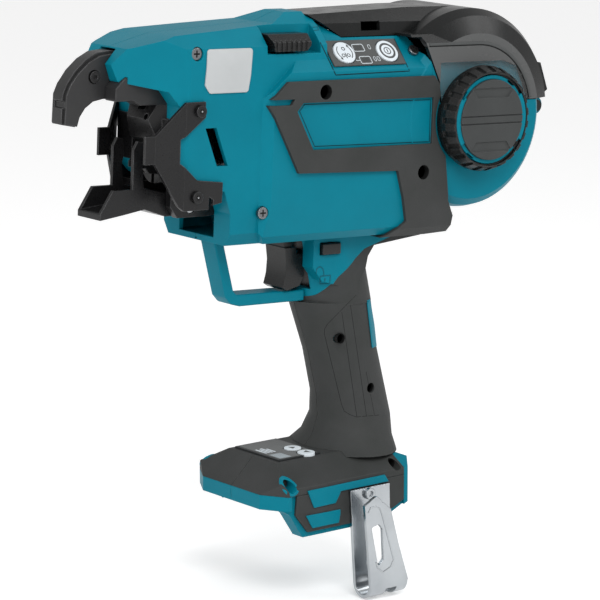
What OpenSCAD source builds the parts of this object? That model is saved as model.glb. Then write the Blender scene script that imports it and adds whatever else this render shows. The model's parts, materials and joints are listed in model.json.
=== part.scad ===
// Cordless rebar tying tool, bare tool without pack or wire reel. Millimetres, +Z up, +X rear, -Y left.

/* [Body] */
// half width of the main body
body_half = 31.5; // [30:0.5:34]
// step from the main body in to the front body on each side
front_step = 3; // [2:0.25:4]
// height of the top of the body above the pack seat
body_top = 240; // [238:0.5:242]
// height of the underside of the body
body_bottom = 133; // [131:0.5:134]
// wall thickness of the shells
wall = 2.5; // [2:0.1:3]
// thickness of the rubber bumper frame
bumper_thick = 2; // [1.2:0.1:2.4]
// radius of the sunk screw holes of the bumpers
recess_r = 3.7; // [2.6:0.1:4]

/* [Reel case] */
// reel axis, distance behind the pack seat origin
reel_x = 82; // [81:0.5:84]
// reel axis height
reel_z = 190.5; // [189.5:0.5:192]
// outer radius of the reel case
drum_r = 46.5; // [45.5:0.5:48]
// radius of the flat side of the reel case
side_r = 41.5; // [40:0.5:42]
// step from the main body out to the side of the reel case
case_step = 0.5; // [0.2:0.1:1]
// width of the rounded edge of the reel case
case_round = 8; // [6:0.5:10]
// wall of the reel case at its rim
case_rim = 2.7; // [2.2:0.1:3.4]
// wall of the reel case at its sides
case_side = 3; // [2.5:0.1:3.5]
// crown radius of the smoked cover
cover_r = 54; // [52:0.5:55]
// wall of the smoked cover
cover_wall = 2.4; // [2:0.1:2.8]
// height of the seam between cover and reel case
seam_z = 198; // [197.5:0.5:199]
// radius of the cover hinge pin
hinge_pin_r = 2; // [1.5:0.1:2.4]

/* [Reel stopper] */
// outer radius of the knurled dial
dial_r = 26.5; // [25:0.5:27]
// depth of the knurled dial
dial_depth = 9; // [8:0.5:10]
// bore of the knurled dial
dial_bore = 22.6; // [22:0.1:23]
// radius of the narrow front of the dial
dial_nose_r = 24.6; // [24.4:0.1:25.4]
// depth of the taper of the dial
dial_taper = 5; // [3:0.5:6]
// radius of the stopper cap
cap_r = 20.2; // [19:0.1:20.4]
// radius of the stopper shaft
stopper_shaft_r = 7; // [5:0.1:7]
// radius of the fixed reel hub
hub_r = 10; // [8:0.5:12]
// number of grips round the dial
dial_grips = 24; // [12:1:30]

/* [Handle] */
// half length of the grip section
grip_long = 20.5; // [19:0.5:22]
// half width of the grip section
grip_half = 16.5; // [15.5:0.5:18]
// thickness of the rubber over the handle core
grip_skin = 2.6; // [2:0.1:3.2]
// lean of the handle, rearward run per unit of height
grip_lean = 0.265; // [0.24:0.005:0.28]

/* [Trigger] */
// travel of the trigger
trigger_travel = 6; // [4:0.5:6.5]
// half width of the trigger
trigger_half = 8; // [7:0.5:8.5]
// half width of the trigger guard
guard_half = 6; // [5:0.5:7]
// travel of the cross bolt lock
lock_travel = 3; // [2:0.5:3.5]

/* [Foot] */
// half width of the foot
foot_half = 36.8; // [36:0.1:37.5]
// reach of the foot behind the origin
foot_rear = 55.6; // [54:0.2:57]
// tilt of the foot against the body in degrees
foot_tilt = 3; // [2:0.5:4]
// depth of the skirts below the pack seat
skirt_depth = 12.8; // [11:0.2:13.5]
// wall of the skirts beside the pack channel
skirt_wall = 5.3; // [4.6:0.1:6]
// reach of the rail lips into the pack channel
rail_reach = 4.5; // [3.5:0.25:5.5]
// thickness of the rail lips
rail_lip = 3; // [2.4:0.2:3.6]

/* [Belt hook] */
// thickness of the hook strip
hook_thick = 1.8; // [1.4:0.1:2.2]
// width of the hook strip
hook_width = 25; // [22:0.5:26]
// inner width of the hook gap
hook_gap = 10.6; // [9:0.1:11.5]
// radius of the threaded hole for the hook screw
hook_hole_r = 1.65; // [1.6:0.05:2.1]

/* [Jaws] */
// half width of the curl guide core
curl_half = 3.8; // [3.6:0.1:5]
// thickness of the curl guide plates
curl_plate = 2; // [1.8:0.1:3]
// half width of the lower guide
lower_half = 9.5; // [9:0.1:10]
// radius of the lower guide pin
lower_pin_r = 2.5; // [2:0.1:3]
// half width of the nose block
nose_half = 14; // [13:0.2:14.5]
// thickness of the contact plates
plate_thick = 1.5; // [1.2:0.1:2]

/* [Drive] */
// gear module
gear_module = 1; // [0.95:0.01:1.02]
// teeth on the motor pinion
pinion_teeth = 10; // [10:10:10]
// teeth on the twister gear
twist_teeth = 30; // [30:30:30]
// height of the twister axis
twist_z = 172; // [171:0.5:173]
// radius of the twister shaft
twist_shaft_r = 4; // [3.5:0.1:4.5]
// radius of the twister sleeve
sleeve_r = 10; // [9:0.2:10.5]
// outer radius of the motor stator
stator_r = 22; // [20:0.5:22.5]
// radius of the motor rotor
rotor_r = 13; // [12:0.2:13.2]
// radius of the motor shaft
motor_shaft_r = 2.5; // [2:0.1:3]
// radius of the feed rollers
feed_r = 6; // [5.5:0.1:6.2]
// radius of the feed motor
feed_motor_r = 10.5; // [9:0.5:11]

/* [Fits] */
// gap between pieces that move past each other
gap = 0.4; // [0.3:0.05:0.5]
// radial running clearance of pins and shafts
run_fit = 0.05; // [0.03:0.01:0.08]
// clearance between pieces fixed together
seat_fit = 0.1; // [0.05:0.01:0.15]
// parting gap between the two halves
parting = 0.3; // [0.2:0.05:0.4]
// travel of the push buttons
press_travel = 0.8; // [0.5:0.1:1]

/* [Hidden] */
fine = 48;
big = 400;
front_half = body_half - front_step;
drum_half = body_half + case_step;
crown_half = drum_half - case_round;
bay_r = drum_r - case_rim;
bay_half = drum_half - case_side;
channel_half = foot_half - skirt_wall;
rail_half = channel_half - rail_reach;
plate_y = front_half - 1.3;
plate_screw_end = plate_y - 7.2;
cheek_y = nose_half + 1.4;
plate_screw_bore = plate_screw_end - 3;
feed_motor_end = front_half - 5.5;
rear_bearing_r = 8;
rear_bearing_x = 27.4;
shoulder_drop = 23.6;
shoulder_tilt = atan2(shoulder_drop, body_half - 10);
motor_z = twist_z + gear_module * (pinion_teeth + twist_teeth) / 2;
dial_back = -drum_half - 4.2;
dial_front = dial_back - dial_depth;
hinge_x = reel_x + 51.5;
hinge_z = seam_z - 5;
lock_x0 = -1.8;
lock_x1 = 9.6;
lock_z0 = 123.6;
lock_z1 = 129.2;
wire_z = 219.5;
wire_y = -3;
feed_x = -62;
pivot_x = -80;
pivot_z = 151;
hook_y0 = -foot_half - 0.2;
hook_z = 4;
seat_x0 = -26.9;
seat_x1 = 22.5;
seat_half = 23.9;
key_r = 4.4;
hump_top = body_top + 3.4;
bend_z = 50;
case_split = 53;
foot_end = foot_rear - 13;
ridge_cross = [[-18.3, 200], [-18.3, 226], [-16.8, 238], [-11, 244.5], [11, 244.5], [16.8, 238],
  [18.3, 226],
  [18.3, 200]];

body_front_side = [[-124, 213], [-127, 221], [-120.5, 228.6], [-98, 234.6], [-36, body_top - 1.4],
  [-23, hump_top], [-10, hump_top], [-10, body_bottom], [-66, body_bottom], [-66, 149], [-70, 160],
  [-88, 164],
  [-96, 172], [-96, 201], [-102, 208.5]];
body_front_cross = [[-8, hump_top], [9.5 - front_half, body_top - 3.5], [2.5 - front_half, 229],
  [-front_half, 207], [-front_half, 155], [1.5 - front_half, 139], [5.5 - front_half, body_bottom],
  [front_half - 5.5, body_bottom], [front_half - 1.5, 139], [front_half, 155], [front_half, 207],
  [front_half - 2.5, 229], [front_half - 9.5, body_top - 3.5], [8, hump_top]];
front_edge = [[-127, 17.5], [-117, 11.5], [-102, 5], [-92, 1.5], [-60, 1.5], [-52, 0], [-10, 0]];
body_front_plan = concat([for (p = front_edge) [p[0], p[1] - front_half]],
  [for (i = [6 : -1 : 0]) [front_edge[i][0], front_half - front_edge[i][1]]]);
body_main_side = [[-50, 139], [-45, body_bottom], [40, body_bottom], [69, body_bottom + 1.5], [71.5, 141],
  [66.5, 149], [58.5, 206], [57, body_top], [-8, body_top], [-50, 204]];
body_main_cross = [[-10, body_top], [-body_half, body_top - shoulder_drop], [-body_half, 152],
  [2 - body_half, 137], [5.5 - body_half, body_bottom], [body_half - 5.5, body_bottom],
  [body_half - 2, 137], [body_half, 152], [body_half, body_top - shoulder_drop], [10, body_top]];
body_main_plan = [[-50, -front_half], [-45, -body_half], [72, -body_half], [72, body_half],
  [-45, body_half], [-50, front_half]];
cover_zone = [[-12.5, 280], [-12.5, 241.5], [5, 231], [46, 231], [57, 209], [58.8, seam_z],
  [170, seam_z], [170, 280]];
inner_wall = [[59.2, 188], [59.2, seam_z + 21.2], [101, seam_z + 21.2], [106, seam_z + 18.5],
  [117, seam_z + 18], [121, seam_z + 12], [125, seam_z + 5], [126, 188]];
bumper_side = [[-47.5, 203.8], [-38.3, 212.2], [53.5, 212.3], [57.6, 207], [66, 149],
  [70.5, 141], [68.4, 120], [24, 120], [24, 131], [30.7, 132.8], [40.4, 139.8],
  [32.3, 165.8], [-30, 167.6], [-48.8, 200.9],
  [-36, 200.9], [-34, 203.8]];
bumper_window = [[-29, 201.8], [53.4, 201.6], [53.4, 178.4], [-21.8, 178.5], [-32.6, 197.7]];
label_side = [[-82.5, 228.5], [-55.5, 228.5], [-58.5, 207.5], [-81, 207.5], [-84, 211.5]];
collar_edge = [[-30, 140], [-30, 98.4], [-13, 98.4], [-5, 99], [1.5, 102], [10.4, 111.8], [26.3, 124.8],
  [42.9, 129.8], [48, 140]];
gusset_side = [[-6, 136], [-6, 117], [0, 110], [22, 104], [27.5, 114.4], [28.8, 120.9], [32.5, 126.2],
  [62.2, 129.6], [71, 132.3], [71, 136]];
foot_plan = [[-38.8, 13.3 - foot_half], [-31, -foot_half], [45, -foot_half], [foot_rear, 14.8 - foot_half],
  [foot_rear, foot_half - 14.8], [45, foot_half], [-31, foot_half], [-38.8, foot_half - 13.3]];
foot_side = [[-38.8, 2], [-38.8, 9.3], [foot_rear, 9.3], [foot_rear, -2], [45, -5],
  [36, -skirt_depth + 3.6],
  [10, -skirt_depth],
  [-21, -skirt_depth], [-29, -0.5], [-32, 2]];
foot_top_side = [[-38.8, 9.3], [-25, 22.5], [36, 22.5], [50, 16.5], [foot_rear, 12.5], [foot_rear, 9.3]];
foot_top_cross = [[-foot_half, 9.3], [-foot_half, 13], [16.8 - foot_half, 22.5], [foot_half - 16.8, 22.5],
  [foot_half, 13],
  [foot_half, 9.3]];
foot_panel = [[-25.5, 9.2], [foot_rear, 9.2], [foot_rear, 0], [44, -2.8], [35.5, -skirt_depth + 6],
  [9.5, -skirt_depth + 2.6],
  [-19, -skirt_depth + 2.6], [-26.5, -0.5]];
curl_side = [[-104.4, 225.6], [-123, 227], [-130.3, 226.2], [-136.6, 222.9], [-142.6, 217.6],
  [-146.8, 211.8],
  [-148.8, 207.2], [-149.2, 204.2], [-147.4, 203.4], [-147.6, 201], [-149.2, 200.4], [-149.2, 192.8],
  [-141.4, 191.4], [-140.1, 196], [-137.2, 200], [-132.8, 203], [-127, 204.1], [-104.4, 204.1]];
curl_plate_side = [[-112, 224.5], [-122.6, 225.6], [-129.6, 224.8], [-135.6, 221.8], [-141.6, 216.7],
  [-145.8, 211.4], [-147.9, 206.6], [-148.3, 193], [-141.4, 191.8], [-140.1, 196.3], [-137.2, 200.3],
  [-132.8, 203.3], [-127, 204.4], [-112, 204.4]];
bracket_side = [[-126.5, 204], [-126.5, 210], [-121, 215.4], [-98, 209.4], [-94, 205], [-94, 201.6],
  [-112, 201.6]];
nose_side = [[-93.8, 203.5], [-93.8, 201.4], [-99.5, 201.4], [-103, 194], [-99, 184],
  [-93, 180], [-93, 162], [-68, 162], [-68, 203.5]];
contact_side = [[-95, 203.9], [-84, 204], [-83.6, 196.5], [-96.9, 186.3], [-96.9, 174.9], [-87.5, 166.6],
  [-72.3, 164.9], [-72.6, 155.2], [-77.9, 154.2], [-77.7, 157], [-80.2, 158.4], [-80.5, 152.2],
  [-95, 152.2],
  [-97, 154.2], [-106.4, 174], [-113, 174], [-113, 187.4], [-106.4, 187.4]];
cheek_side = [[-110, 162], [-74, 162], [-74, 203.5], [-90, 203.5], [-90, 195], [-110, 195]];
lower_side = [[-129.5, 147], [-129.5, 150], [-122.5, 161], [-111.3, 161], [-111.3, 180], [-109, 184],
  [-105.6, 183],
  [-104.8, 176], [-106, 170], [-104.6, 161], [-92, 158.5], [-77, 155.5], [-75.5, 151], [-77, 147.2],
  [-92, 147],
  [-104, 151], [-116, 149]];
lower_keep = [[-140, 149.2], [-104, 153.2], [-92, 149.2], [-92, 200], [-140, 200]];
lever_side = [[-46, 234.5], [-21.5, 234.5], [-21.5, 229], [-24, 226.2], [-42.5, 226.2]];
guard_out = [[-60, body_bottom + 2], [-51, 103.8], [-47.5, 100.2], [-42, 98.8], [-2, 98.8], [-2, 104.4],
  [-44, 104.8], [-46.2, 106.6], [-54.5, body_bottom + 2]];

// extrudes a side view outline between two widths
module side(y0, y1) {
  translate([0, y1, 0]) rotate([90, 0, 0]) linear_extrude(y1 - y0) children();
}

// extrudes a front view outline between two lengths
module across(x0, x1) {
  translate([x0, 0, 0]) rotate([90, 0, 90]) linear_extrude(x1 - x0) children();
}

module rod_y(x, z, r, y0, y1) {
  translate([x, y1, z]) rotate([90, 0, 0]) cylinder(r = r, h = y1 - y0, $fn = fine);
}

module rod_x(y, z, r, x0, x1) {
  translate([x0, y, z]) rotate([0, 90, 0]) cylinder(r = r, h = x1 - x0, $fn = fine);
}

module rod_z(x, y, r, z0, z1) {
  translate([x, y, z0]) cylinder(r = r, h = z1 - z0, $fn = fine);
}

module block(x0, x1, y0, y1, z0, z1) {
  translate([x0, y0, z0]) cube([x1 - x0, y1 - y0, z1 - z0]);
}

// keeps one side of the parting plane, hand -1 is left
module half_space(hand) {
  if (hand < 0) block(-big, big, -big, -parting / 2, -big, big);
  else block(-big, big, parting / 2, big, -big, big);
}

module mirrored() {
  children();
  mirror([0, 1, 0]) children();
}

module in_foot() {
  rotate([0, -foot_tilt, 0]) children();
}

// puts children on the left shoulder: x along the body, y up the slope, z outward
module on_shoulder(x) {
  translate([x, -10 - 0.7 * (body_half - 10), body_top - 0.7 * shoulder_drop + 0.3])
    rotate([shoulder_tilt, 0, 0]) children();
}

module front_prism(t) {
  intersection() {
    side(-big / 2, big / 2) offset(delta = -t) polygon(body_front_side);
    across(-200, 100) offset(delta = -t) polygon(body_front_cross);
    translate([0, 0, 100]) linear_extrude(200) offset(delta = -t) polygon(body_front_plan);
  }
}

module main_prism(t) {
  intersection() {
    side(-big / 2, big / 2) offset(delta = -t) polygon(body_main_side);
    across(-200, 100) offset(delta = -t) polygon(body_main_cross);
    translate([0, 0, 100]) linear_extrude(200) offset(delta = -t) polygon(body_main_plan);
  }
}

// round case turned about the reel axis
module drum(r_crown, r_side, half, crown) {
  translate([reel_x, 0, reel_z]) rotate([90, 0, 0]) rotate_extrude($fn = 72)
    polygon([[0, -half], [r_side, -half],
  [r_side + (r_crown - r_side) * 0.72, -half + (half - crown) * 0.42],
      [r_crown, -crown], [r_crown, crown],
      [r_side + (r_crown - r_side) * 0.72, half - (half - crown) * 0.42], [r_side, half], [0, half]]);
}

module oval(cx, z, a, b) {
  translate([cx, 0, z]) linear_extrude(0.02) scale([a, b]) circle(r = 1, $fn = 36);
}

// straight leaning handle core between two heights
// centre of the handle at a height, its lower end stands upright
function grip_x(z) = 20 + (98 - max(z, bend_z)) * grip_lean;

module core(a, b, z0, z1) {
  if (z0 < bend_z) hull() {
    oval(grip_x(z0), z0, a, b);
    oval(grip_x(z0), min(bend_z, z1), a, b);
  }
  if (z1 > bend_z) hull() {
    oval(grip_x(max(z0, bend_z)), max(z0, bend_z), a, b);
    oval(grip_x(z1), z1, a, b);
  }
}

module grip_form() {
  core(grip_long + 0.6, grip_half + 1.4, 97, 136);
  hull() {
    oval(18.6, 98, grip_long + 2.2, grip_half + 1.2);
    oval(26.6, 72, grip_long - 0.1, grip_half - 0.3);
  }
  hull() {
    oval(26.6, 72, grip_long - 0.1, grip_half - 0.3);
    oval(33, 50, grip_long, grip_half + 0.6);
  }
  hull() {
    oval(33, 50, grip_long, grip_half + 0.6);
    oval(35, 38, grip_long + 0.4, grip_half + 3.8);
  }
  hull() {
    oval(35, 38, grip_long + 0.4, grip_half + 3.8);
    oval(33.2, 28, grip_long + 2, grip_half + 8);
  }
  hull() {
    oval(33.2, 28, grip_long + 2, grip_half + 8);
    oval(30.5, 21, grip_long + 5.2, grip_half + 15);
  }
  side(-17, 17) polygon(gusset_side);
}

module foot_top(t) {
  in_foot() intersection() {
    side(-big / 2, big / 2) offset(delta = -t) polygon(foot_top_side);
    across(-200, 200) offset(delta = -t) polygon(foot_top_cross);
    translate([0, 0, -50]) linear_extrude(200) offset(delta = -t) polygon(foot_plan);
  }
}

module foot_form(t) {
  in_foot() intersection() {
    foot_outline();
    translate([0, 0, -50]) linear_extrude(200) offset(delta = -t) polygon(foot_plan);
  }
}

// skirts of both sides, the right one starts further back
module foot_outline() {
  difference() {
    side(-big / 2, big / 2) polygon(foot_side);
    side(1, big / 2) polygon([[-60, -0.5], [-28, -0.5], [2, -skirt_depth - 0.1], [2, -40], [-60, -40]]);
  }
}

module gear_case_form(t) {
  rod_x(0, twist_z, 19.5 + t, -44 - t, -23 + t);
  rod_x(0, motor_z, 12 + t, -44 - t, -23 + t);
  block(-44 - t, -23 + t, -12 - t, 12 + t, twist_z, motor_z);
}

// cross wall inside the body that carries the drive
module rib(x0, x1) {
  intersection() {
    main_prism(wall - 0.5);
    block(x0, x1, -60, 60, 136, 211);
  }
}

module screw_places() {
  for (p = screw_list) rod_y(p[0], p[1], p[2], -60, 60);
}

screw_list = [[-88, 226.4, 1.6], [-49, 149, 1.6]];

// body with the reel case, from the underside up
module body_solid() {
  difference() {
    union() {
      difference() {
        union() {
          front_prism(0);
          main_prism(0);
          drum(drum_r, side_r, drum_half, crown_half);
        }
        difference() {
          union() {
            front_prism(wall);
            main_prism(wall);
          }
          rod_y(reel_x, reel_z, drum_r + 0.4, -60, 60);
        }
        rod_y(reel_x, reel_z, bay_r, -bay_half, bay_half);
        side(-60, 60) polygon(cover_zone);
        block(-46.5, -14, -40, -16, 224.5, 245);
      }
      // walls round the release lever
      difference() {
        intersection() {
          front_prism(0);
          block(-49, -11.5, -40, -9.5, 222.5, 246);
        }
        side(-60, 60) polygon(cover_zone);
        block(-46.5, -14, -40, -16, 225, 245);
        block(-46.5, -19, -16.1, -12, 227, 233.5);
      }
      // cross walls for the motor and the gear case
      difference() {
        union() {
          rib(-37, -33.5);
          rib(-9, -5.5);
          rib(10, 13.5);
          rib(24, 27.5);
        }
        rod_x(0, motor_z, stator_r + seat_fit, -20, 22);
        gear_case_form(seat_fit);
        block(-40, -20, -30, 30, 206, 215);
      }
      // feed plate seat, reel hub and hinge lugs
      intersection() {
        front_prism(wall - 0.5);
        block(-80, -46, 6, 40, 199.5, 202);
      }
      rod_y(reel_x, reel_z, hub_r, bay_half - 20, bay_half + 1);
      // inner side walls that show through the cover
      mirrored() intersection() {
        rod_y(reel_x, reel_z, side_r - 0.8, -bay_half - 0.5, -bay_half + 1.3);
        side(-60, 0) polygon(inner_wall);
      }
      mirrored() difference() {
        union() {
          rod_y(hinge_x, hinge_z, 4.6, 13.4, 20);
          block(reel_x + drum_r - 3, hinge_x, 13.4, 20, hinge_z - 4.6, hinge_z + 2);
        }
        rod_y(reel_x, reel_z, bay_r, -bay_half, bay_half);
      }
    }
    // wire way down into the handle
    core(grip_long - grip_skin - 4, grip_half - grip_skin - 4, 120, 140);
    // front opening for the jaws
    block(-140, -66.5, -nose_half - seat_fit, nose_half + seat_fit, 120, 204);
    side(-cheek_y - seat_fit, cheek_y + seat_fit) offset(delta = seat_fit) polygon(cheek_side);
    block(-70, -60, -nose_half - seat_fit, nose_half + seat_fit, 136, 204);
    block(-140, -104, -curl_half - curl_plate - 0.3, curl_half + curl_plate + 0.3, 196, 227.9);
    side(-15 - seat_fit, 15 + seat_fit) offset(delta = seat_fit) polygon(bracket_side);
    // trigger stem and lamp pocket
    block(-17.2, -3.6, -6.5 - gap, 6.5 + gap, 128, 142);
    block(-40.1, -27.9, -5.1, 5.1, 130, 137);
    // reel stopper bore, cover hinge pin and wire way
    rod_y(reel_x, reel_z, stopper_shaft_r + run_fit, -60, 0);
    rod_y(hinge_x, hinge_z, hinge_pin_r + seat_fit, -60, 60);
    rod_x(wire_y, wire_z, 2.5, -10, 60);
    // seat of the rear motor bearing
    rod_x(0, motor_z, rear_bearing_r + seat_fit, 20, rear_bearing_x + seat_fit);
    rod_x(0, motor_z, motor_shaft_r + gap, 20, 29);
    screw_places();
    on_shoulder(45) translate([0, 0, -8]) cylinder(r = 1.6, h = 20, $fn = fine);
    mirrored() rod_y(-88, 226.4, 3.4, -60, -24.2);
    mirrored() rod_y(-49, 149, 3.2, -60, -front_half - 0.1);
    mirrored() rod_y(-15.3, 206.6, recess_r, -60, -body_half + 1.5);
    mirrored() rod_y(48.8, 164.2, recess_r, -60, -body_half + 1.5);
    // slot windows in the front sides
    side(-60, 60) polygon([[-82.5, 191], [-76, 191], [-68.5, 172.5], [-75, 172.5]]);
    // screw holes of the contact plates
    rod_y(-87.3, 199.6, 1.3, -60, -plate_screw_bore);
    rod_y(-87.3, 199.6, 1.3, plate_screw_bore, 60);
    // shoulder button pockets
    on_shoulder(1) translate([0, 0, -6]) cylinder(r = 6.2 + gap, h = 20, $fn = fine);
    on_shoulder(28) translate([0, 0, -6]) cylinder(r = 6.2 + gap, h = 20, $fn = fine);
  }
}

module parting_cut() {
  block(-big, big, -parting / 2, parting / 2, -big, big);
}

module housing_left() {
  color([0, 0.51, 0.6]) intersection() {
    body_solid();
    block(-big, case_split - seat_fit / 2, -big, -parting / 2, 0, big);
  }
}

module housing_right() {
  color([0, 0.51, 0.6]) intersection() {
    body_solid();
    block(-big, case_split - seat_fit / 2, parting / 2, big, 0, big);
  }
}

// both halves of the reel case behind the body
module reel_case() {
  color([0, 0.51, 0.6]) difference() {
    intersection() {
      body_solid();
      block(case_split + seat_fit / 2, big, -big, big, 0, big);
    }
    parting_cut();
  }
}

// both halves of the handle core with the collar under the body
module handle_core() {
  color([0, 0.51, 0.6]) difference() {
    union() {
      intersection() {
        union() {
          core(grip_long + 0.6, grip_half + 1.4, 97, 136);
          mirrored() side(-17, -8) polygon(gusset_side);
        }
        side(-60, 60) polygon(collar_edge);
      }
      core(grip_long - grip_skin - 0.2, grip_half - grip_skin - 0.2, 4, 136);
    }
    block(-big, big, -big, big, body_bottom - seat_fit, big);
    in_foot() block(-big, big, -big, big, -big, 9.3 + seat_fit);
    core(grip_long - grip_skin - 3, grip_half - grip_skin - 3, 5, 131.5);
    core(grip_long - grip_skin - 4, grip_half - grip_skin - 4, 120, 140);
    // trigger slot, lock bore and switch room
    block(-25, 3.5, -trigger_half - gap, trigger_half + gap, 104.9, 132);
    block(-17.2, -3.6, -6.5 - gap, 6.5 + gap, 128, 142);
    block(lock_x0 - gap, lock_x1 + gap, -40, 40, lock_z0 - gap, lock_z1 + gap);
    block(2.9, 24.1, -7.3, 7.3, 104, 123.1);
    parting_cut();
  }
}

// both halves of the foot with the pack rails
module foot_base() {
  color([0, 0.51, 0.6]) difference() {
    union() {
      foot_form(1.6);
      intersection() {
        foot_form(0);
        in_foot() block(-60, -29, -60, 60, 2, 20);
      }
      // rear end, up to the top of the foot
      intersection() {
        union() {
          foot_form(0);
          foot_top(0);
        }
        in_foot() block(foot_end, 80, -60, 60, -20, 40);
      }
    }
    in_foot() {
      block(-60, 60, -rail_half, rail_half, -60, 0);
      block(-34, -28, -rail_half, rail_half, -60, 5);
      block(-12, 60, -channel_half, channel_half, -skirt_depth + rail_lip, 0);
      // pocket for terminals and board
      block(seat_x0 - seat_fit, seat_x1 + seat_fit, -seat_half - seat_fit, seat_half + seat_fit, -1, 10);
      // screw holes of the hook seats
      rod_y(18, hook_z, hook_hole_r, -60, 60);
    }
    core(grip_long - grip_skin - 4, grip_half - grip_skin - 4, 6, 40);
    intersection() {
      core(grip_long - grip_skin, grip_half - grip_skin, 8, 48);
      in_foot() block(-big, big, -big, big, 9.1, big);
    }
    parting_cut();
  }
}

module trigger_guard() {
  color([0, 0.51, 0.6]) difference() {
    side(-guard_half, guard_half) polygon(guard_out);
    front_prism(-0.02);
    core(grip_long + 0.62, grip_half + 1.42, 60, 140);
    block(-25, 3.5, -trigger_half - gap, trigger_half + gap, 104.9, 132);
  }
}

module bumper_form() {
  difference() {
    intersection() {
      main_prism(-bumper_thick);
      side(-60, 60) difference() {
        polygon(bumper_side);
        polygon(bumper_window);
      }
    }
    main_prism(-0.01);
    drum(drum_r + 0.1, side_r + 0.1, drum_half + 0.1, crown_half + 0.1);
    side(-60, 60) offset(delta = gap) polygon(cover_zone);
    rod_y(reel_x, reel_z, dial_r + gap, -60, 0);
    rod_y(-15.3, 206.6, recess_r, -60, 60);
    rod_y(48.8, 164.2, recess_r, -60, 60);
    block(-60, 80, -60, 60, 100, body_bottom - 1.2);
  }
}

module bumper_left() {
  color([0.29, 0.3, 0.3]) intersection() {
    bumper_form();
    block(-big, big, -big, -20, 0, big);
  }
}

module bumper_right() {
  color([0.29, 0.3, 0.3]) intersection() {
    bumper_form();
    block(-big, big, 20, big, 0, big);
  }
}

module grip_solid() {
  difference() {
    grip_form();
    side(-60, 60) offset(delta = 0.05) polygon(collar_edge);
    core(grip_long - grip_skin, grip_half - grip_skin, 5, 140);
    main_prism(-0.05);
    drum(drum_r + 0.1, side_r + 0.1, drum_half + 0.1, crown_half + 0.1);
    foot_top(-0.05);
    side(-guard_half - 0.1, guard_half + 0.1) offset(delta = 0.1) polygon(guard_out);
    rod_y(14.2, 79.9, 2.6, -60, 60);
    rod_y(34.5, 53, 2.6, -60, 60);
  }
}

module grip_left() {
  color([0.29, 0.3, 0.3]) intersection() {
    grip_solid();
    half_space(-1);
  }
}

module grip_right() {
  color([0.29, 0.3, 0.3]) intersection() {
    grip_solid();
    half_space(1);
  }
}

module grip_stripes() {
  color([0, 0.51, 0.6]) mirrored() intersection() {
    difference() {
      hull() {
        oval(18.9, 98, grip_long + 2.6, grip_half + 1.6);
        oval(26.7, 72, grip_long + 0.3, grip_half + 0.1);
      }
      hull() {
        oval(18.6, 98, grip_long + 2.25, grip_half + 1.25);
        oval(26.6, 72, grip_long - 0.05, grip_half - 0.25);
      }
      core(grip_long + 0.65, grip_half + 1.45, 96.9, 136);
    }
    side(-40, -2) polygon([[31.5, 106], [30, 100], [36, 73], [42, 73], [40, 84]]);
  }
}

module foot_cover_solid() {
  difference() {
    foot_top(0);
    in_foot() {
      block(-60, 60, -60, 60, -60, 9.3 + seat_fit);
      block(foot_end - seat_fit, 80, -60, 60, -60, 60);
      block(-24, 34, -24, 24, 9, 19.4);
      block(-30, 46, -24, 24, 9, 13.6);
      mirrored() rod_y(-28.4, 13.9, 3, -60, -28);
      rod_y(38.6, 14.4, 2.6, -60, 60);
      for (y = [-4, -15]) rod_z(-3, y, key_r + gap, 15, 30);
    }
    core(grip_long - grip_skin, grip_half - grip_skin, 5, 60);
  }
}

module foot_cover_left() {
  color([0.29, 0.3, 0.3]) intersection() {
    foot_cover_solid();
    half_space(-1);
  }
}

module foot_cover_right() {
  color([0.29, 0.3, 0.3]) intersection() {
    foot_cover_solid();
    half_space(1);
  }
}

// rubber skins on both sides of the foot
module foot_skins() {
  color([0.29, 0.3, 0.3]) in_foot() difference() {
    intersection() {
      side(-60, 60) polygon(foot_panel);
      translate([0, 0, -50]) linear_extrude(200) polygon(foot_plan);
      foot_outline();
    }
    translate([0, 0, -50]) linear_extrude(200) offset(delta = -1.5) polygon(foot_plan);
    block(-60, 80, -15, 15, -60, 60);
    block(foot_end - seat_fit, 80, -60, 60, -60, 60);
    rod_y(18, hook_z, 2.4, -60, 60);
  }
}

module foot_plates() {
  color([0, 0.51, 0.6]) in_foot() mirrored() difference() {
    side(-foot_half - 0.8, -foot_half) {
      polygon([[-19.5, 11], [29.5, 11.4], [32, 7.6], [1.5, 7.6], [-2, 2], [-15.5, 1.8]]);
      polygon([[-20.5, -1.5], [1.5, -1.8], [0, -8.4], [-16.5, -8.4]]);
    }
    block(1, 40, -60, 0, -20, 7.4);
  }
}

module display_panel() {
  color([0.2, 0.2, 0.2]) in_foot() difference() {
    translate([0, 0, 22.5]) linear_extrude(0.9) polygon([[-22.5, -18], [3.5, -18], [3.5, 18],
  [-22.5, 18]]);
    for (y = [-4, -15]) rod_z(-3, y, key_r + gap, 15, 30);
    core(grip_long + 3, grip_half + 10, 5, 60);
  }
}

module foot_key(y) {
  in_foot() {
    rod_z(-3, y, key_r, 20.4, 24);
    rod_z(-3, y, 2, 19.9, 20.5);
  }
}

module up_button() {
  color([0.9, 0.92, 0.92]) foot_key(-15);
}

module down_button() {
  color([0.9, 0.92, 0.92]) foot_key(-4);
}

module control_panel() {
  color([0.25, 0.26, 0.26]) difference() {
    on_shoulder(14) translate([-22.5, -7.6, 0.12]) cube([45, 15.2, 0.8]);
    on_shoulder(1) translate([0, 0, -6]) cylinder(r = 6.2 + gap, h = 20, $fn = fine);
    on_shoulder(28) translate([0, 0, -6]) cylinder(r = 6.2 + gap, h = 20, $fn = fine);
  }
}

module shoulder_key(x) {
  on_shoulder(x) {
    translate([0, 0, -3.4]) cylinder(r = 6.2, h = 4.9, $fn = fine);
  }
}

module mode_button() {
  color([0.9, 0.92, 0.92]) shoulder_key(1);
}

module power_button() {
  color([0.9, 0.92, 0.92]) shoulder_key(28);
}

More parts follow.
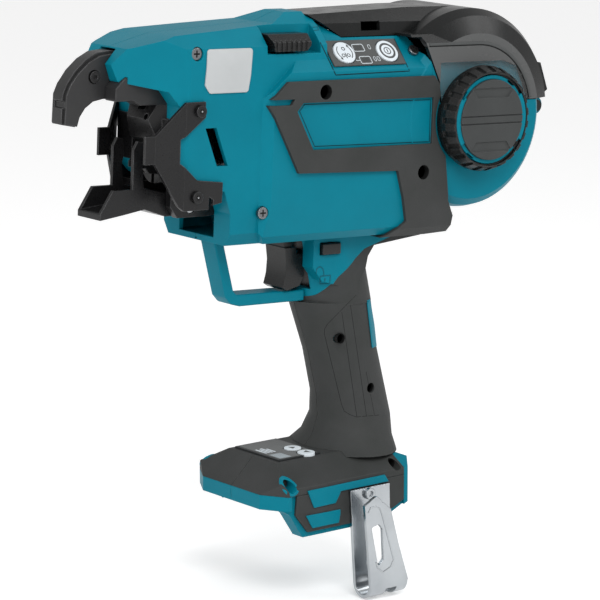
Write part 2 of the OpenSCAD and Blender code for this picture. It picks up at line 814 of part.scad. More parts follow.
module side_label() {
  color([0.93, 0.93, 0.93]) difference() {
    intersection() {
      front_prism(-0.6);
      side(-60, 0) offset(r = 1.6, $fn = 32) offset(delta = -1.6) polygon(label_side);
    }
    front_prism(-0.02);
  }
}

module release_lever() {
  color([0.12, 0.12, 0.12]) difference() {
    union() {
      side(-28.5, -16.5) polygon(lever_side);
      block(-40, -28, -16.6, -12.6, 227.6, 232.8);
    }
    for (i = [0 : 6]) block(-43.2 + i * 3, -42 + i * 3, -29, -27.6, 220, 240);
    difference() {
      block(-60, 0, -40, -10, 220, 240);
      front_prism(-3);
    }
  }
}

// flat clear sides that reach forward from the drum, less a wall
module cover_flat(t) {
  across(40, reel_x) polygon([[-drum_half - 0.6 + t, 180], [-drum_half - 0.6 + t, 228.6 - t],
    [-drum_half + 3 + t / 2, 232.6 - t], [drum_half - 3 - t / 2, 232.6 - t],
    [drum_half + 0.6 - t, 228.6 - t], [drum_half + 0.6 - t, 180]]);
}

module magazine_cover() {
  color([0.2, 0.21, 0.21]) difference() {
    union() {
      intersection() {
        difference() {
          union() {
            drum(cover_r, side_r + 0.6, drum_half + 0.6, crown_half);
            cover_flat(0);
            intersection() {
              across(-20, reel_x) polygon(ridge_cross);
              side(-60, 60) polygon([[-20, 200], [-20, 242], [50, 244.5], [90, 244.5], [90, 200]]);
            }
          }
          drum(cover_r - cover_wall, side_r - 1.2, drum_half - cover_wall + 0.6, crown_half - 1);
          cover_flat(cover_wall);
          intersection() {
            across(-21, reel_x) offset(delta = -cover_wall) polygon(ridge_cross);
            side(-60, 60) polygon([[-22, 190], [-22, 239.4], [50, 242], [90, 242], [90, 190]]);
          }
        }
        side(-60, 60) offset(delta = -gap) polygon(cover_zone);
      }
      // hinge knuckle and grip block at the rear
      rod_y(hinge_x, hinge_z, 4.4, -13, 13);
      difference() {
        side(-20, 20) polygon([[hinge_x - 3, hinge_z + 23], [hinge_x + 2.4, hinge_z + 22],
  [hinge_x + 8, hinge_z + 8],
          [hinge_x + 4.5, hinge_z + 5.6], [hinge_x - 4, hinge_z + 5.6]]);
        drum(cover_r - 0.1, side_r + 0.6, drum_half + 0.6, crown_half);
      }
      block(hinge_x - 4.2, hinge_x + 4.2, -13, 13, hinge_z, hinge_z + 7);
    }
    rod_y(hinge_x, hinge_z, hinge_pin_r + run_fit, -60, 60);
    rod_y(reel_x, reel_z, drum_r - 0.1, -13.6, 13.6);
    block(18, 30, -60, -10, 234, 238.5);
  }
}

module cover_hinge_pin() {
  color([0.15, 0.15, 0.15]) {
    rod_y(hinge_x, hinge_z, hinge_pin_r, -20.6, 20.6);
    rod_y(hinge_x, hinge_z, hinge_pin_r + 1.1, -21.6, -20.3);
    rod_y(hinge_x, hinge_z, hinge_pin_r + 1.1, 20.3, 21.6);
  }
}

module reel_dial() {
  color([0.12, 0.12, 0.12]) difference() {
    translate([reel_x, 0, reel_z]) rotate([90, 0, 0]) rotate_extrude($fn = fine)
      polygon([[0, -dial_back], [dial_r, -dial_back], [dial_r, -dial_front - dial_taper],
        [dial_nose_r, -dial_front], [0, -dial_front]]);
    rod_y(reel_x, reel_z, dial_bore, dial_front - 1, dial_back + 1);
    // seat of the stopper ring's ears
    rod_y(reel_x, reel_z, dial_bore + 0.7, dial_front - 1, dial_front + 2);
    for (i = [0 : dial_grips - 1]) translate([reel_x, 0, reel_z]) rotate([0, i * 360 / dial_grips, 0])
      translate([0, 0, -1.5]) linear_extrude(3) polygon([[dial_r - 1.1, dial_back - 2],
        [dial_r + 2, dial_back - 2], [dial_r + 2, dial_front - 1], [dial_nose_r - 0.8, dial_front - 1],
        [dial_nose_r - 0.8, dial_front],
        [dial_r - 1.1, dial_front + dial_taper]]);
  }
}

module dial_base() {
  color([0.12, 0.12, 0.12]) difference() {
    union() {
      rod_y(reel_x, reel_z, dial_bore - run_fit, dial_back - 3, -drum_half - seat_fit);
      rod_y(reel_x, reel_z, dial_r - 1.5, dial_back + gap, -drum_half - seat_fit);
    }
    // room for the side of the cover
    block(reel_x - 60, reel_x + 60, -drum_half - 1, 0, seam_z - 0.2, 260);
    rod_y(reel_x, reel_z, stopper_shaft_r + run_fit, -60, 0);
  }
}

module stopper_ring() {
  color([0, 0.51, 0.6]) difference() {
    union() {
      rod_y(reel_x, reel_z, dial_bore - gap, dial_front + 1.2, dial_back - 3.4);
      // ears of both sides
      intersection() {
        rod_y(reel_x, reel_z, dial_bore + 0.7 - gap, dial_front + 0.2, dial_front + 1.6);
        side(-60, 0) for (s = [-1, 1])
          polygon([[reel_x, reel_z], [reel_x + s * 40, reel_z + 26], [reel_x + s * 40, reel_z - 26]]);
      }
    }
    rod_y(reel_x, reel_z, cap_r + seat_fit, dial_front - 1, dial_front + 4);
    rod_y(reel_x, reel_z, stopper_shaft_r + seat_fit, -60, 0);
    for (a = [35, 125, 215, 305]) translate([reel_x, 0, reel_z]) rotate([0, a, 0])
      block(cap_r + 1, dial_bore + 2, -60, dial_front + 3.4, -2.5, 2.5);
  }
}

module stopper_cap() {
  color([0.3, 0.31, 0.31]) difference() {
    rod_y(reel_x, reel_z, cap_r, dial_front - 0.4, dial_front + 3.9);
    for (z = [-1.9, 1.9]) block(reel_x - 30, reel_x + 30, dial_front - 2, dial_front + 0.3, reel_z + z - 0.35,
      reel_z + z + 0.35);
    for (s = [-1, 1]) side(dial_front - 2, dial_front + 0.4)
      polygon([[reel_x - 14, reel_z + s * 16], [reel_x - 10, reel_z + s * 11],
  [reel_x + 10, reel_z + s * 11],
        [reel_x + 14, reel_z + s * 16]]);
    rod_y(reel_x, reel_z, stopper_shaft_r + seat_fit, dial_front + 2, 0);
  }
}

module reel_stopper() {
  color([0.6, 0.62, 0.62]) {
    rod_y(reel_x, reel_z, stopper_shaft_r, dial_front + 2.1, -bay_half + 13);
    rod_y(reel_x, reel_z, stopper_shaft_r - 1.5, -bay_half + 12.9, -bay_half + 14.5);
  }
}

module curl_guide() {
  color([0.13, 0.13, 0.13]) union() {
    curl_core();
    rod_y(-108.5, 211.4, 1, -curl_half + 0.5, curl_half - 0.5);
  }
}

module curl_core() {
  difference() {
    side(-curl_half, curl_half) polygon(curl_side);
    rod_y(-132.5, 215, 1.6, -20, 20);
    // wire groove along the inside of the arc
    side(-0.8, 0.8) polygon([[-112, 203], [-127, 203], [-133.6, 201.6], [-138.4, 197.6], [-140, 190],
      [-142.2, 190], [-141.5, 197], [-138.7, 201.6], [-134.4, 204.6], [-127, 205.5], [-112, 205.5]]);
    // cutter room
    block(-121, -104, -2.6, 2.6, 203, 216);
  }
}

module curl_plate_form() {
  difference() {
    side(-curl_half - curl_plate, -curl_half) polygon(curl_plate_side);
    rod_y(-132.5, 215, 1.6, -20, 20);
    rod_y(-132.5, 215, 3.2, -20, -curl_half - 1.2);
  }
}

module curl_plates() {
  color([0.17, 0.17, 0.17]) mirrored() curl_plate_form();
}

module guide_bracket() {
  color([0.13, 0.13, 0.13]) difference() {
    side(-15, 15) polygon(bracket_side);
    block(-140, -60, -curl_half - curl_plate - 0.15, curl_half + curl_plate + 0.15, 190, 225);
    side(-40, 40) polygon([[-140, 190], [-140, 203.9], [-116, 203.9], [-112, 201.4]]);
  }
}

module nose_block() {
  color([0.11, 0.11, 0.11]) {
    // cheeks that line the sides of the front opening
    intersection() {
      mirrored() side(-cheek_y, -nose_half + 0.2) polygon(cheek_side);
      front_prism(0);
    }
    // flanges over the front of the shell, wider on the far side
    block(-97.4, -96.1, -17.8, -11.6, 172.5, 194.5);
    block(-97.4, -96.1, 11.6, 24.2, 172.5, 194.5);
    nose_core();
  }
}

module nose_core() {
  difference() {
    intersection() {
      side(-nose_half, nose_half) polygon(nose_side);
      translate([0, 0, 100]) linear_extrude(200) polygon([[-104, -8], [-95, -nose_half],
  [-60, -nose_half],
        [-60, nose_half], [-95, nose_half], [-104, 8]]);
    }
    rod_x(0, twist_z, sleeve_r + gap, -120, -74);
    rod_x(0, twist_z, 8 + seat_fit, -80, -60);
    rod_x(-6, 195, 1.6, -120, -92);
    block(-120, -84, -sleeve_r - gap, sleeve_r + gap, 150, twist_z);
    block(-106, -92, -3, 3, 198, 210);
  }
}

// plate with a wing bent inwards and a lip at its tip
module contact_form() {
  difference() {
    intersection() {
      side(-60, 0) polygon(contact_side);
      translate([0, -plate_y, 140]) linear_extrude(80) polygon([[-60, 0], [-94.5, 0], [-105.9, 8.7],
        [-112.2, 8.7], [-112.2, 8.7 - plate_thick], [-106.4, 8.7 - plate_thick], [-95, -plate_thick],
        [-60, -plate_thick]]);
    }
    rod_y(-87.3, 199.6, 1.6, -60, 0);
    rod_y(-87.8, 158.6, 1.6, -60, 0);
  }
}

module contact_plates() {
  color([0.2, 0.2, 0.2]) mirrored() contact_form();
}

// socket screws of the contact plates and of the curl guide
module jaw_screws() {
  color([0.2, 0.2, 0.2]) {
    mirrored() for (p = [[-87.3, 199.6], [-87.8, 158.6]]) {
      rod_y(p[0], p[1], 1.2, -plate_y - plate_thick - 0.2, -plate_screw_end);
      rod_y(p[0], p[1], 2.9, -plate_y - plate_thick - 1.8, -plate_y - plate_thick - 0.05);
    }
    difference() {
      union() {
        rod_y(-132.5, 215, 1.5, -curl_half - 1.4, curl_half + 1.4);
        mirrored() rod_y(-132.5, 215, 2.9, -curl_half - 3, -curl_half - 1.2);
      }
      mirrored() rod_y(-132.5, 215, 1.1, -20, -curl_half - 1.8);
    }
  }
}

module lower_guide() {
  color([0.12, 0.12, 0.12]) difference() {
    side(-lower_half, lower_half) polygon(lower_side);
    side(-lower_half + 2, lower_half - 2) polygon(lower_keep);
    block(-92, -60, -lower_half + 2.5, lower_half - 2.5, 140, 170);
    rod_y(pivot_x, pivot_z, lower_pin_r + run_fit, -40, 40);
  }
}

module lower_guide_pin() {
  color([0.6, 0.62, 0.62]) rod_y(pivot_x, pivot_z, lower_pin_r, -nose_half + 0.6, nose_half - 0.6);
}

module jaw_bracket() {
  color([0.13, 0.13, 0.13]) difference() {
    union() {
      mirrored() side(-nose_half, -lower_half - gap) polygon([[-92, 161.8], [-68, 161.8],
        [-62, 158], [-62, 147.5], [-70, 146.6], [-88, 146.6], [-92, 152]]);
      block(-66, -62.1, -nose_half, nose_half, 147.6, 161.7);
      mirrored() block(-91.6, -83, -plate_y + seat_fit, -nose_half + 1, 155.6, 161.4);
    }
    rod_y(-87.8, 158.6, 1.3, -60, -plate_screw_bore);
    rod_y(-87.8, 158.6, 1.3, plate_screw_bore, 60);
    rod_y(pivot_x, pivot_z, lower_pin_r + seat_fit, -40, 40);
  }
}

module cutter() {
  color([0.45, 0.46, 0.47]) difference() {
    side(-2.2, 2.2) polygon([[-118, 204.2], [-118, 206.5], [-112, 211], [-108, 215], [-105.5, 213.5],
  [-106, 206],
      [-112, 204.2]]);
    rod_y(-108.5, 211.4, 1 + run_fit, -10, 10);
  }
}

function gear_points(n, m) = [for (i = [0 : n - 1]) for (j = [0 : 3])
  let (r = (j == 0 || j == 3) ? m * n / 2 - 1.15 * m : m * n / 2 + 0.8 * m)
  let (h = (j == 0 || j == 3) ? 0.62 * m : 0.3 * m)
  let (a = i * 360 / n + (j < 2 ? -1 : 1) * h / r * 180 / PI)
  [r * cos(a), r * sin(a)]];

module twist_gear() {
  color([0.55, 0.56, 0.57]) difference() {
    translate([-38, 0, twist_z]) rotate([90, 0, 90]) rotate([0, 0, 6]) linear_extrude(7)
      polygon(gear_points(twist_teeth, gear_module));
    rod_x(0, twist_z, twist_shaft_r + seat_fit / 2, -60, 0);
  }
}

module twister_shaft() {
  color([0.6, 0.62, 0.62]) {
    rod_x(0, twist_z, twist_shaft_r, -78, -24.5);
  }
}

// sleeve and hook pair that grip the wire ends
module twister_head() {
  color([0.4, 0.41, 0.42]) {
    difference() {
      rod_x(0, twist_z, sleeve_r, -93, -74.4);
      rod_x(0, twist_z, twist_shaft_r + seat_fit / 2, -78, -60);
      block(-100, -84, -1.2, 1.2, 100, 250);
    }
    intersection() {
      mirrored() side(1.6, 5) polygon([[-93.1, twist_z - 5], [-93.1, twist_z + 5], [-99, twist_z + 4],
        [-104, twist_z + 1], [-104, twist_z - 2], [-101, twist_z - 2], [-98.5, twist_z - 4.6]]);
      rod_x(0, twist_z, sleeve_r - 1, -110, -90);
    }
  }
}

module shaft_bearings() {
  color([0.7, 0.71, 0.72]) {
    difference() {
      union() {
        rod_x(0, twist_z, 8, -73.8, -68.2);
        rod_x(0, twist_z, 8, -43.9, -40);
        rod_x(0, twist_z, 8, -27.5, -23.1);
      }
      rod_x(0, twist_z, twist_shaft_r + run_fit, -80, 0);
    }
    difference() {
      union() {
        rod_x(0, motor_z, 6.5, -28, -23.2);
        rod_x(0, motor_z, rear_bearing_r, 24, rear_bearing_x);
      }
      rod_x(0, motor_z, motor_shaft_r + run_fit, -60, 60);
    }
  }
}

module gear_case() {
  color([0.62, 0.64, 0.65]) difference() {
    gear_case_form(0);
    rod_x(0, twist_z, 17, -40.9, -28.6);
    rod_x(0, motor_z, 9, -40.9, -28.6);
    block(-40.9, -28.6, -6, 6, twist_z, motor_z);
    rod_x(0, twist_z, 8 + seat_fit, -50, -39.9);
    rod_x(0, twist_z, 8 + seat_fit, -29, 0);
    rod_x(0, motor_z, 6.5 + seat_fit, -30, 0);
  }
}

module motor_stator() {
  color([0.45, 0.3, 0.2]) difference() {
    rod_x(0, motor_z, stator_r, -17, 19);
    rod_x(0, motor_z, rotor_r + 0.5, -30, 30);
  }
}

// rotor with its shaft, pinion and cooling fan
module motor_rotor() {
  color([0.5, 0.5, 0.52]) {
    union() {
      rod_x(0, motor_z, rotor_r, -14, 17);
      rod_x(0, motor_z, motor_shaft_r, -40.4, 28.6);
      translate([-39.6, 0, motor_z]) rotate([90, 0, 90]) linear_extrude(9.6)
        polygon(gear_points(pinion_teeth, gear_module));
    }
    difference() {
      union() {
        rod_x(0, motor_z, 6, 19.6, 23.4);
        rod_x(0, motor_z, 18, 22.4, 23.4);
        for (i = [0 : 8]) translate([19.8, 0, motor_z]) rotate([i * 40, 0, 0])
          block(0, 3, 5, 17.5, -0.6, 0.6);
      }
      rod_x(0, motor_z, motor_shaft_r + seat_fit / 2, 0, 60);
    }
  }
}

// feed plate with the idler pin, and the wire tube behind it
module feed_plate() {
  color([0.55, 0.56, 0.57]) {
    union() {
      difference() {
        block(-76, -48, 0.6, 3.2, 203.7, 232.4);
        rod_y(feed_x, wire_z - feed_r - 0.4, 2 + 3 * run_fit, -10, 10);
      }
      rod_y(feed_x, wire_z + feed_r + 0.4, 1.5, -7.4, 2);
      rod_y(feed_x, wire_z + feed_r + 0.4, 2.5, -7.4, -6.3);
    }
    difference() {
      union() {
        rod_x(wire_y, wire_z, 2.3, -48.5, 40);
        block(-53, -48, -5.2, 0.5, wire_z - 2.4, wire_z + 2.4);
      }
      rod_x(wire_y, wire_z, 1.2, -70, 60);
    }
  }
}

module feed_motor() {
  color([0.4, 0.41, 0.42]) difference() {
    union() {
      rod_y(feed_x, wire_z - feed_r - 0.4, feed_motor_r, 3.2, feed_motor_end);
      block(feed_x - 5.5, feed_x + 8, 7, feed_motor_end - 1, 202 + seat_fit, 210);
    }
    rod_y(feed_x, wire_z - feed_r - 0.4, 2 + run_fit, 0, 14.4);
  }
}

module feed_roller_drive() {
  color([0.6, 0.6, 0.58]) difference() {
    union() {
      rod_y(feed_x, wire_z - feed_r - 0.4, feed_r, -6, 0);
      rod_y(feed_x, wire_z - feed_r - 0.4, 2, -6, 14);
    }
    difference() {
      rod_y(feed_x, wire_z - feed_r - 0.4, feed_r + 1, wire_y - 0.6, wire_y + 0.6);
      rod_y(feed_x, wire_z - feed_r - 0.4, feed_r - 0.5, -20, 20);
    }
  }
}

module feed_roller_idler() {
  color([0.6, 0.6, 0.58]) difference() {
    rod_y(feed_x, wire_z + feed_r + 0.4, feed_r, -6, 0);
    rod_y(feed_x, wire_z + feed_r + 0.4, 1.5 + run_fit, -20, 20);
    difference() {
      rod_y(feed_x, wire_z + feed_r + 0.4, feed_r + 1, wire_y - 0.6, wire_y + 0.6);
      rod_y(feed_x, wire_z + feed_r + 0.4, feed_r - 0.5, -20, 20);
    }
  }
}

module trigger() {
  color([0.13, 0.13, 0.13]) difference() {
    union() {
      side(-trigger_half, trigger_half) polygon([[-17, 126.6], [-15.8, 119], [-16.2, 112],
  [-17.6, 106.6], [-15, 105],
        [-7, 107], [-4.6, 111], [-4.6, 122.6], [-9.8, 123.2], [-9.8, 126.6]]);
      block(-16.6, -10, -6.5, 6.5, 126, 134);
      block(-6, -3.2, -5, 5, 111, 120);
    }
    block(-15, -11.6, -4.9, 4.9, 128, 140);
  }
}

module trigger_switch() {
  color([0.1, 0.1, 0.1]) union() {
    block(3.4, 24, -7.2, 7.2, 104.1, 123);
    rod_x(0, 115, 2, 2.9, 4);
  }
}

module lock_button() {
  color([0.13, 0.13, 0.13]) block(lock_x0, lock_x1, -grip_half - 2.7, grip_half + 0.4, lock_z0, lock_z1);
}

module lamp_lens() {
  color([0.85, 0.88, 0.9]) block(-40, -28, -5, 5, 130.6, 135.5);
}

module controller_board() {
  color([0.1, 0.3, 0.15]) in_foot() block(-23.5, 14.2, -22, 22, 12.4, 14);
}

module terminal_block() {
  color([0.12, 0.12, 0.12]) in_foot() union() {
    block(seat_x0, seat_x1, -seat_half, seat_half, 0, 8.6);
    block(6, 22, -14, 14, -4, 0.1);
    for (x = [-20, 10]) block(x, x + 5, -18, 18, 8.5, 12.3);
    for (y = [-9, 0, 9]) block(8, 20, y - 0.5, y + 0.5, -9.5, -3.9);
  }
}

module belt_hook() {
  color([0.78, 0.79, 0.8]) in_foot() {
    difference() {
      union() {
        side(hook_y0 - hook_thick, hook_y0) polygon([[6.5, 7], [31.5, 7], [32.5, -40.5], [9.5, -40.5]]);
        difference() {
          hook_bend(hook_gap / 2 + hook_thick);
          hook_bend(hook_gap / 2);
        }
        side(hook_y0 - hook_gap - 2 * hook_thick, hook_y0 - hook_gap - hook_thick)
          polygon([[9.5, -40.5], [33.5, -40.5], [27.2, -20.8], [22.2, -2.1], [13.7, 5.5], [12.2, 5.5],
            [5.6, 1.9], [7.5, -17.3]]);
      }
      rod_y(18, hook_z, 2.2, -60, hook_y0 + 1);
      side(-80, hook_y0 - hook_gap - 0.5) offset(r = 1.2, $fn = 24)
        polygon([[11.2, -10.7], [14.2, -10.1], [15.7, -12.1], [16.5, -26.7], [14.8, -28.5]]);
      side(hook_y0 - hook_gap, hook_y0 + 1) offset(r = 2, $fn = 24)
        polygon([[19, -11], [26, -11], [26, -32], [19, -32]]);
      block(19.5, 26.5, -80, hook_y0 - 6, -60, -43);
    }
  }
}

module hook_bend(r) {
  intersection() {
    translate([0, hook_y0 - hook_thick - hook_gap / 2, -40.5]) rotate([0, 90, 0])
      cylinder(r = r, h = 80, center = true, $fn = fine);
    block(9.5, 33, -80, 0, -60, -40.5);
  }
}

module hook_screw() {
  color([0.7, 0.71, 0.72]) in_foot() difference() {
    union() {
      rod_y(18, hook_z, 1.55, hook_y0 - 0.2, -32);
      rod_y(18, hook_z, 3, hook_y0 - hook_thick - 1.8, hook_y0 - hook_thick);
      rod_y(18, hook_z, 2.1, hook_y0 - hook_thick - 0.1, hook_y0 - 0.1);
    }
    rod_y(18, hook_z, 1.4, -60, hook_y0 - hook_thick - 0.8);
  }
}

module housing_screws() {
  color([0.2, 0.2, 0.2]) {
    for (p = screw_list) rod_y(p[0], p[1], 1.5, -18, 18);
    mirrored() {
      rod_y(-49, 149, 1.5, -front_half - 1.5, -17);
      rod_y(-49, 149, 2.9, -front_half - 2.1, -front_half - 0.2);
      rod_y(-88, 226.4, 1.5, -24.5, -17);
      rod_y(-88, 226.4, 3, -25.6, -24.3);
    }
    on_shoulder(45) {
      translate([0, 0, -7]) cylinder(r = 1.5, h = 8, $fn = fine);
      translate([0, 0, 0.15]) cylinder(r = 2.8, h = 1.7, $fn = fine);
    }
  }
}

housing_left();
housing_right();
reel_case();
handle_core();
foot_base();
trigger_guard();
bumper_left();
bumper_right();
grip_left();
grip_right();
grip_stripes();
foot_cover_left();
foot_cover_right();
foot_skins();
foot_plates();
display_panel();
up_button();
down_button();
control_panel();
mode_button();
power_button();
side_label();
release_lever();
magazine_cover();
cover_hinge_pin();
reel_dial();
dial_base();
stopper_ring();
stopper_cap();
reel_stopper();
curl_guide();
curl_plates();
jaw_screws();
guide_bracket();
nose_block();
contact_plates();
lower_guide();
lower_guide_pin();
jaw_bracket();
cutter();
twist_gear();
twister_shaft();
twister_head();
shaft_bearings();
gear_case();
motor_stator();
motor_rotor();
feed_plate();
feed_motor();
feed_roller_drive();
feed_roller_idler();
trigger();
trigger_switch();
lock_button();
lamp_lens();
controller_board();
terminal_block();
belt_hook();
hook_screw();
housing_screws();
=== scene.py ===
import bpy
import bmesh
import json
import math
from mathutils import Matrix, Vector
from mathutils.bvhtree import BVHTree


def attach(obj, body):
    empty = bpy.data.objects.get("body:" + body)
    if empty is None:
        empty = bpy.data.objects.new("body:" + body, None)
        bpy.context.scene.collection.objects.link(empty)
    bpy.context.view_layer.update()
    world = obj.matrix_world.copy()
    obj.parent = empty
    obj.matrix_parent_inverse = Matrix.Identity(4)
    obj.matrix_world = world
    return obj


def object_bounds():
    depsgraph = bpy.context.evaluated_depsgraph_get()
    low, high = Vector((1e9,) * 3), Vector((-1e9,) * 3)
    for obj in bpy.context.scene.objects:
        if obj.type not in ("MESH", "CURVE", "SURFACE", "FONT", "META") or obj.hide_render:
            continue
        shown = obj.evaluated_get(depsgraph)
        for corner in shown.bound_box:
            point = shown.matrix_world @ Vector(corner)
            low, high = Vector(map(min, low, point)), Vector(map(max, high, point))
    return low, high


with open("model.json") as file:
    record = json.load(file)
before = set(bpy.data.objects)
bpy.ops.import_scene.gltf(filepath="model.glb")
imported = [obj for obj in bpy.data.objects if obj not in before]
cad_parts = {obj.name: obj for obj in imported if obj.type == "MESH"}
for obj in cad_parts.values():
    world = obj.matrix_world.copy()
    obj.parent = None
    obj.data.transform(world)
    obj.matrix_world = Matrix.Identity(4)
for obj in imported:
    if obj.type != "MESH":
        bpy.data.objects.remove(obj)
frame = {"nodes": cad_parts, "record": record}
cad_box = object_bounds()
NODES = frame["nodes"]
SLOT_OF = {s["node"]: s["material_slot"] for s in frame["record"]["subparts"]}
scene = bpy.context.scene

# camera of the photograph: degrees, metres, pixels for focal length and picture, mm for the sensor
YAW, PITCH, BODY_TILT = 38, 11.5, 2.8
AIM = Vector((0, 0, 0.098))
DISTANCE, NEAREST = 1.65, 0.05
FOCAL, PICTURE = 3300.0, 600
SENSOR = 36


def photo_axes():
    # viewing direction, right and up of the photograph in the part's frame
    yaw, pitch, tilt = math.radians(YAW), math.radians(PITCH), math.radians(BODY_TILT)
    ahead = Vector((math.sin(yaw) * math.cos(pitch), math.cos(yaw) * math.cos(pitch), -math.sin(pitch)))
    right = Vector((math.cos(yaw), -math.sin(yaw), 0))
    up = right.cross(ahead)
    turn = Matrix((
        (math.cos(tilt), 0, -math.sin(tilt)), (0, 1, 0), (math.sin(tilt), 0, math.cos(tilt))))
    return turn @ ahead, turn @ right, turn @ up


DIR, RIGHT, UP = photo_axes()
EYE = AIM - DISTANCE * DIR
cam_data = bpy.data.cameras.new("camera")
cam_data.sensor_width = SENSOR
cam_data.lens = FOCAL / PICTURE * SENSOR
cam_data.clip_start = NEAREST
cam = bpy.data.objects.new("camera", cam_data)
scene.collection.objects.link(cam)
cam.matrix_world = Matrix((
    (RIGHT.x, UP.x, -DIR.x, EYE.x), (RIGHT.y, UP.y, -DIR.y, EYE.y),
    (RIGHT.z, UP.z, -DIR.z, EYE.z), (0, 0, 0, 1)))
scene.camera = cam

# materials: noise scales per metre, lengths in metres
TONE_SCALE, SCUFF_SCALE, SMOKE_SCALE = 28, 160, 120
TONE_DETAIL, FINE_DETAIL, NOISE_ROUGH = 4, 3, 0.6
TONE_RANGE, FINE_RANGE = (0.35, 0.65), (0.3, 0.7)
LEAST_WEAR_AND_HIGHLIGHT = 0.25
GRAIN_DEPTH, SMOKE_DEPTH = 0.0002, 0.0004
EDGE_SAMPLES = 4
EDGE_START, EDGE_FULL = 0.99, 0.8


def new_material(name):
    m = bpy.data.materials.new(name)
    m.use_nodes = True
    t = m.node_tree
    t.nodes.clear()
    out = t.nodes.new("ShaderNodeOutputMaterial")
    p = t.nodes.new("ShaderNodeBsdfPrincipled")
    t.links.new(p.outputs["BSDF"], out.inputs["Surface"])
    return m, t, p


def srgb(r, g, b):
    def lin(c):
        c = c / 255
        return c / 12.92 if c <= 0.04045 else ((c + 0.055) / 1.055) ** 2.4
    return (lin(r), lin(g), lin(b), 1)


def noise(t, coord, scale, detail=2.0, rough=0.5):
    n = t.nodes.new("ShaderNodeTexNoise")
    n.inputs["Scale"].default_value = scale
    n.inputs["Detail"].default_value = detail
    n.inputs["Roughness"].default_value = rough
    t.links.new(coord, n.inputs["Vector"])
    return n.outputs["Fac"]


def remap(t, value, from_min, from_max, to_min=0.0, to_max=1.0):
    n = t.nodes.new("ShaderNodeMapRange")
    limits = {"From Min": from_min, "From Max": from_max, "To Min": to_min, "To Max": to_max}
    for key, limit in limits.items():
        n.inputs[key].default_value = limit
    t.links.new(value, n.inputs["Value"])
    return n.outputs["Result"]


def calc(t, how, *values):
    # a math node; each value is a number or a socket
    n = t.nodes.new("ShaderNodeMath")
    n.operation = how
    for socket, v in zip(n.inputs, values):
        if isinstance(v, float):
            socket.default_value = v
        else:
            t.links.new(v, socket)
    return n.outputs["Value"]


def mix_color(t, fac, a, b):
    n = t.nodes.new("ShaderNodeMix")
    n.data_type = "RGBA"
    t.links.new(fac, n.inputs["Factor"])
    for socket, c in ((n.inputs["A"], a), (n.inputs["B"], b)):
        if isinstance(c, tuple):
            socket.default_value = c
        else:
            t.links.new(c, socket)
    return n.outputs["Result"]


def split_xyz(t, vector):
    n = t.nodes.new("ShaderNodeSeparateXYZ")
    t.links.new(vector, n.inputs[0])
    return n.outputs


def add_bump(t, p, height, strength, distance, normal=None):
    bump = t.nodes.new("ShaderNodeBump")
    bump.inputs["Strength"].default_value = strength
    bump.inputs["Distance"].default_value = distance
    t.links.new(height, bump.inputs["Height"])
    if normal:
        t.links.new(normal, bump.inputs["Normal"])
    t.links.new(bump.outputs["Normal"], p.inputs["Normal"])


def edge_mask(t, radius):
    # 1 where the surface turns sharply, and the rounded normal there; surface() paints these edges paler,
    # partly as wear and partly as a painted highlight
    bev = t.nodes.new("ShaderNodeBevel")
    bev.samples = EDGE_SAMPLES
    bev.inputs["Radius"].default_value = radius
    geo = t.nodes.new("ShaderNodeNewGeometry")
    dot = t.nodes.new("ShaderNodeVectorMath")
    dot.operation = "DOT_PRODUCT"
    t.links.new(bev.outputs["Normal"], dot.inputs[0])
    t.links.new(geo.outputs["Normal"], dot.inputs[1])
    return remap(t, dot.outputs["Value"], EDGE_START, EDGE_FULL), bev.outputs["Normal"]


def surface(name, base, other, rough, grain, depth, edge=None, edge_r=0.0006, metal=0.0, spread=0.08,
            spec=0.18, streak=None, coat=0.0):
    # two mixed tones, grain in the roughness and the relief, and paler edges where asked for: partly wear,
    # partly a painted highlight along the sharp edges
    m, t, p = new_material(name)
    at = t.nodes.new("ShaderNodeTexCoord").outputs["Object"]
    fine_at = at
    if streak:
        stretch = t.nodes.new("ShaderNodeMapping")
        stretch.inputs["Scale"].default_value = streak
        t.links.new(at, stretch.inputs["Vector"])
        fine_at = stretch.outputs["Vector"]
    share = remap(t, noise(t, at, TONE_SCALE, TONE_DETAIL, NOISE_ROUGH), *TONE_RANGE)
    tone = mix_color(t, share, base, other)
    fine = noise(t, fine_at, grain, FINE_DETAIL, NOISE_ROUGH)
    mask, normal = edge_mask(t, edge_r)
    # the edge tone is partly wear and partly a painted highlight, broken up by the scuff noise
    if edge:
        scuffs = noise(t, at, SCUFF_SCALE, FINE_DETAIL, NOISE_ROUGH)
        wear_and_highlight = calc(t, "MULTIPLY", mask, remap(t, scuffs, *FINE_RANGE, LEAST_WEAR_AND_HIGHLIGHT, 1.0))
        tone = mix_color(t, wear_and_highlight, tone, edge)
    t.links.new(tone, p.inputs["Base Color"])
    t.links.new(remap(t, fine, *FINE_RANGE, rough - spread, rough + spread), p.inputs["Roughness"])
    p.inputs["Metallic"].default_value = metal
    p.inputs["Specular IOR Level"].default_value = spec
    p.inputs["Coat Weight"].default_value = coat
    add_bump(t, p, fine, depth, GRAIN_DEPTH, normal)
    return m
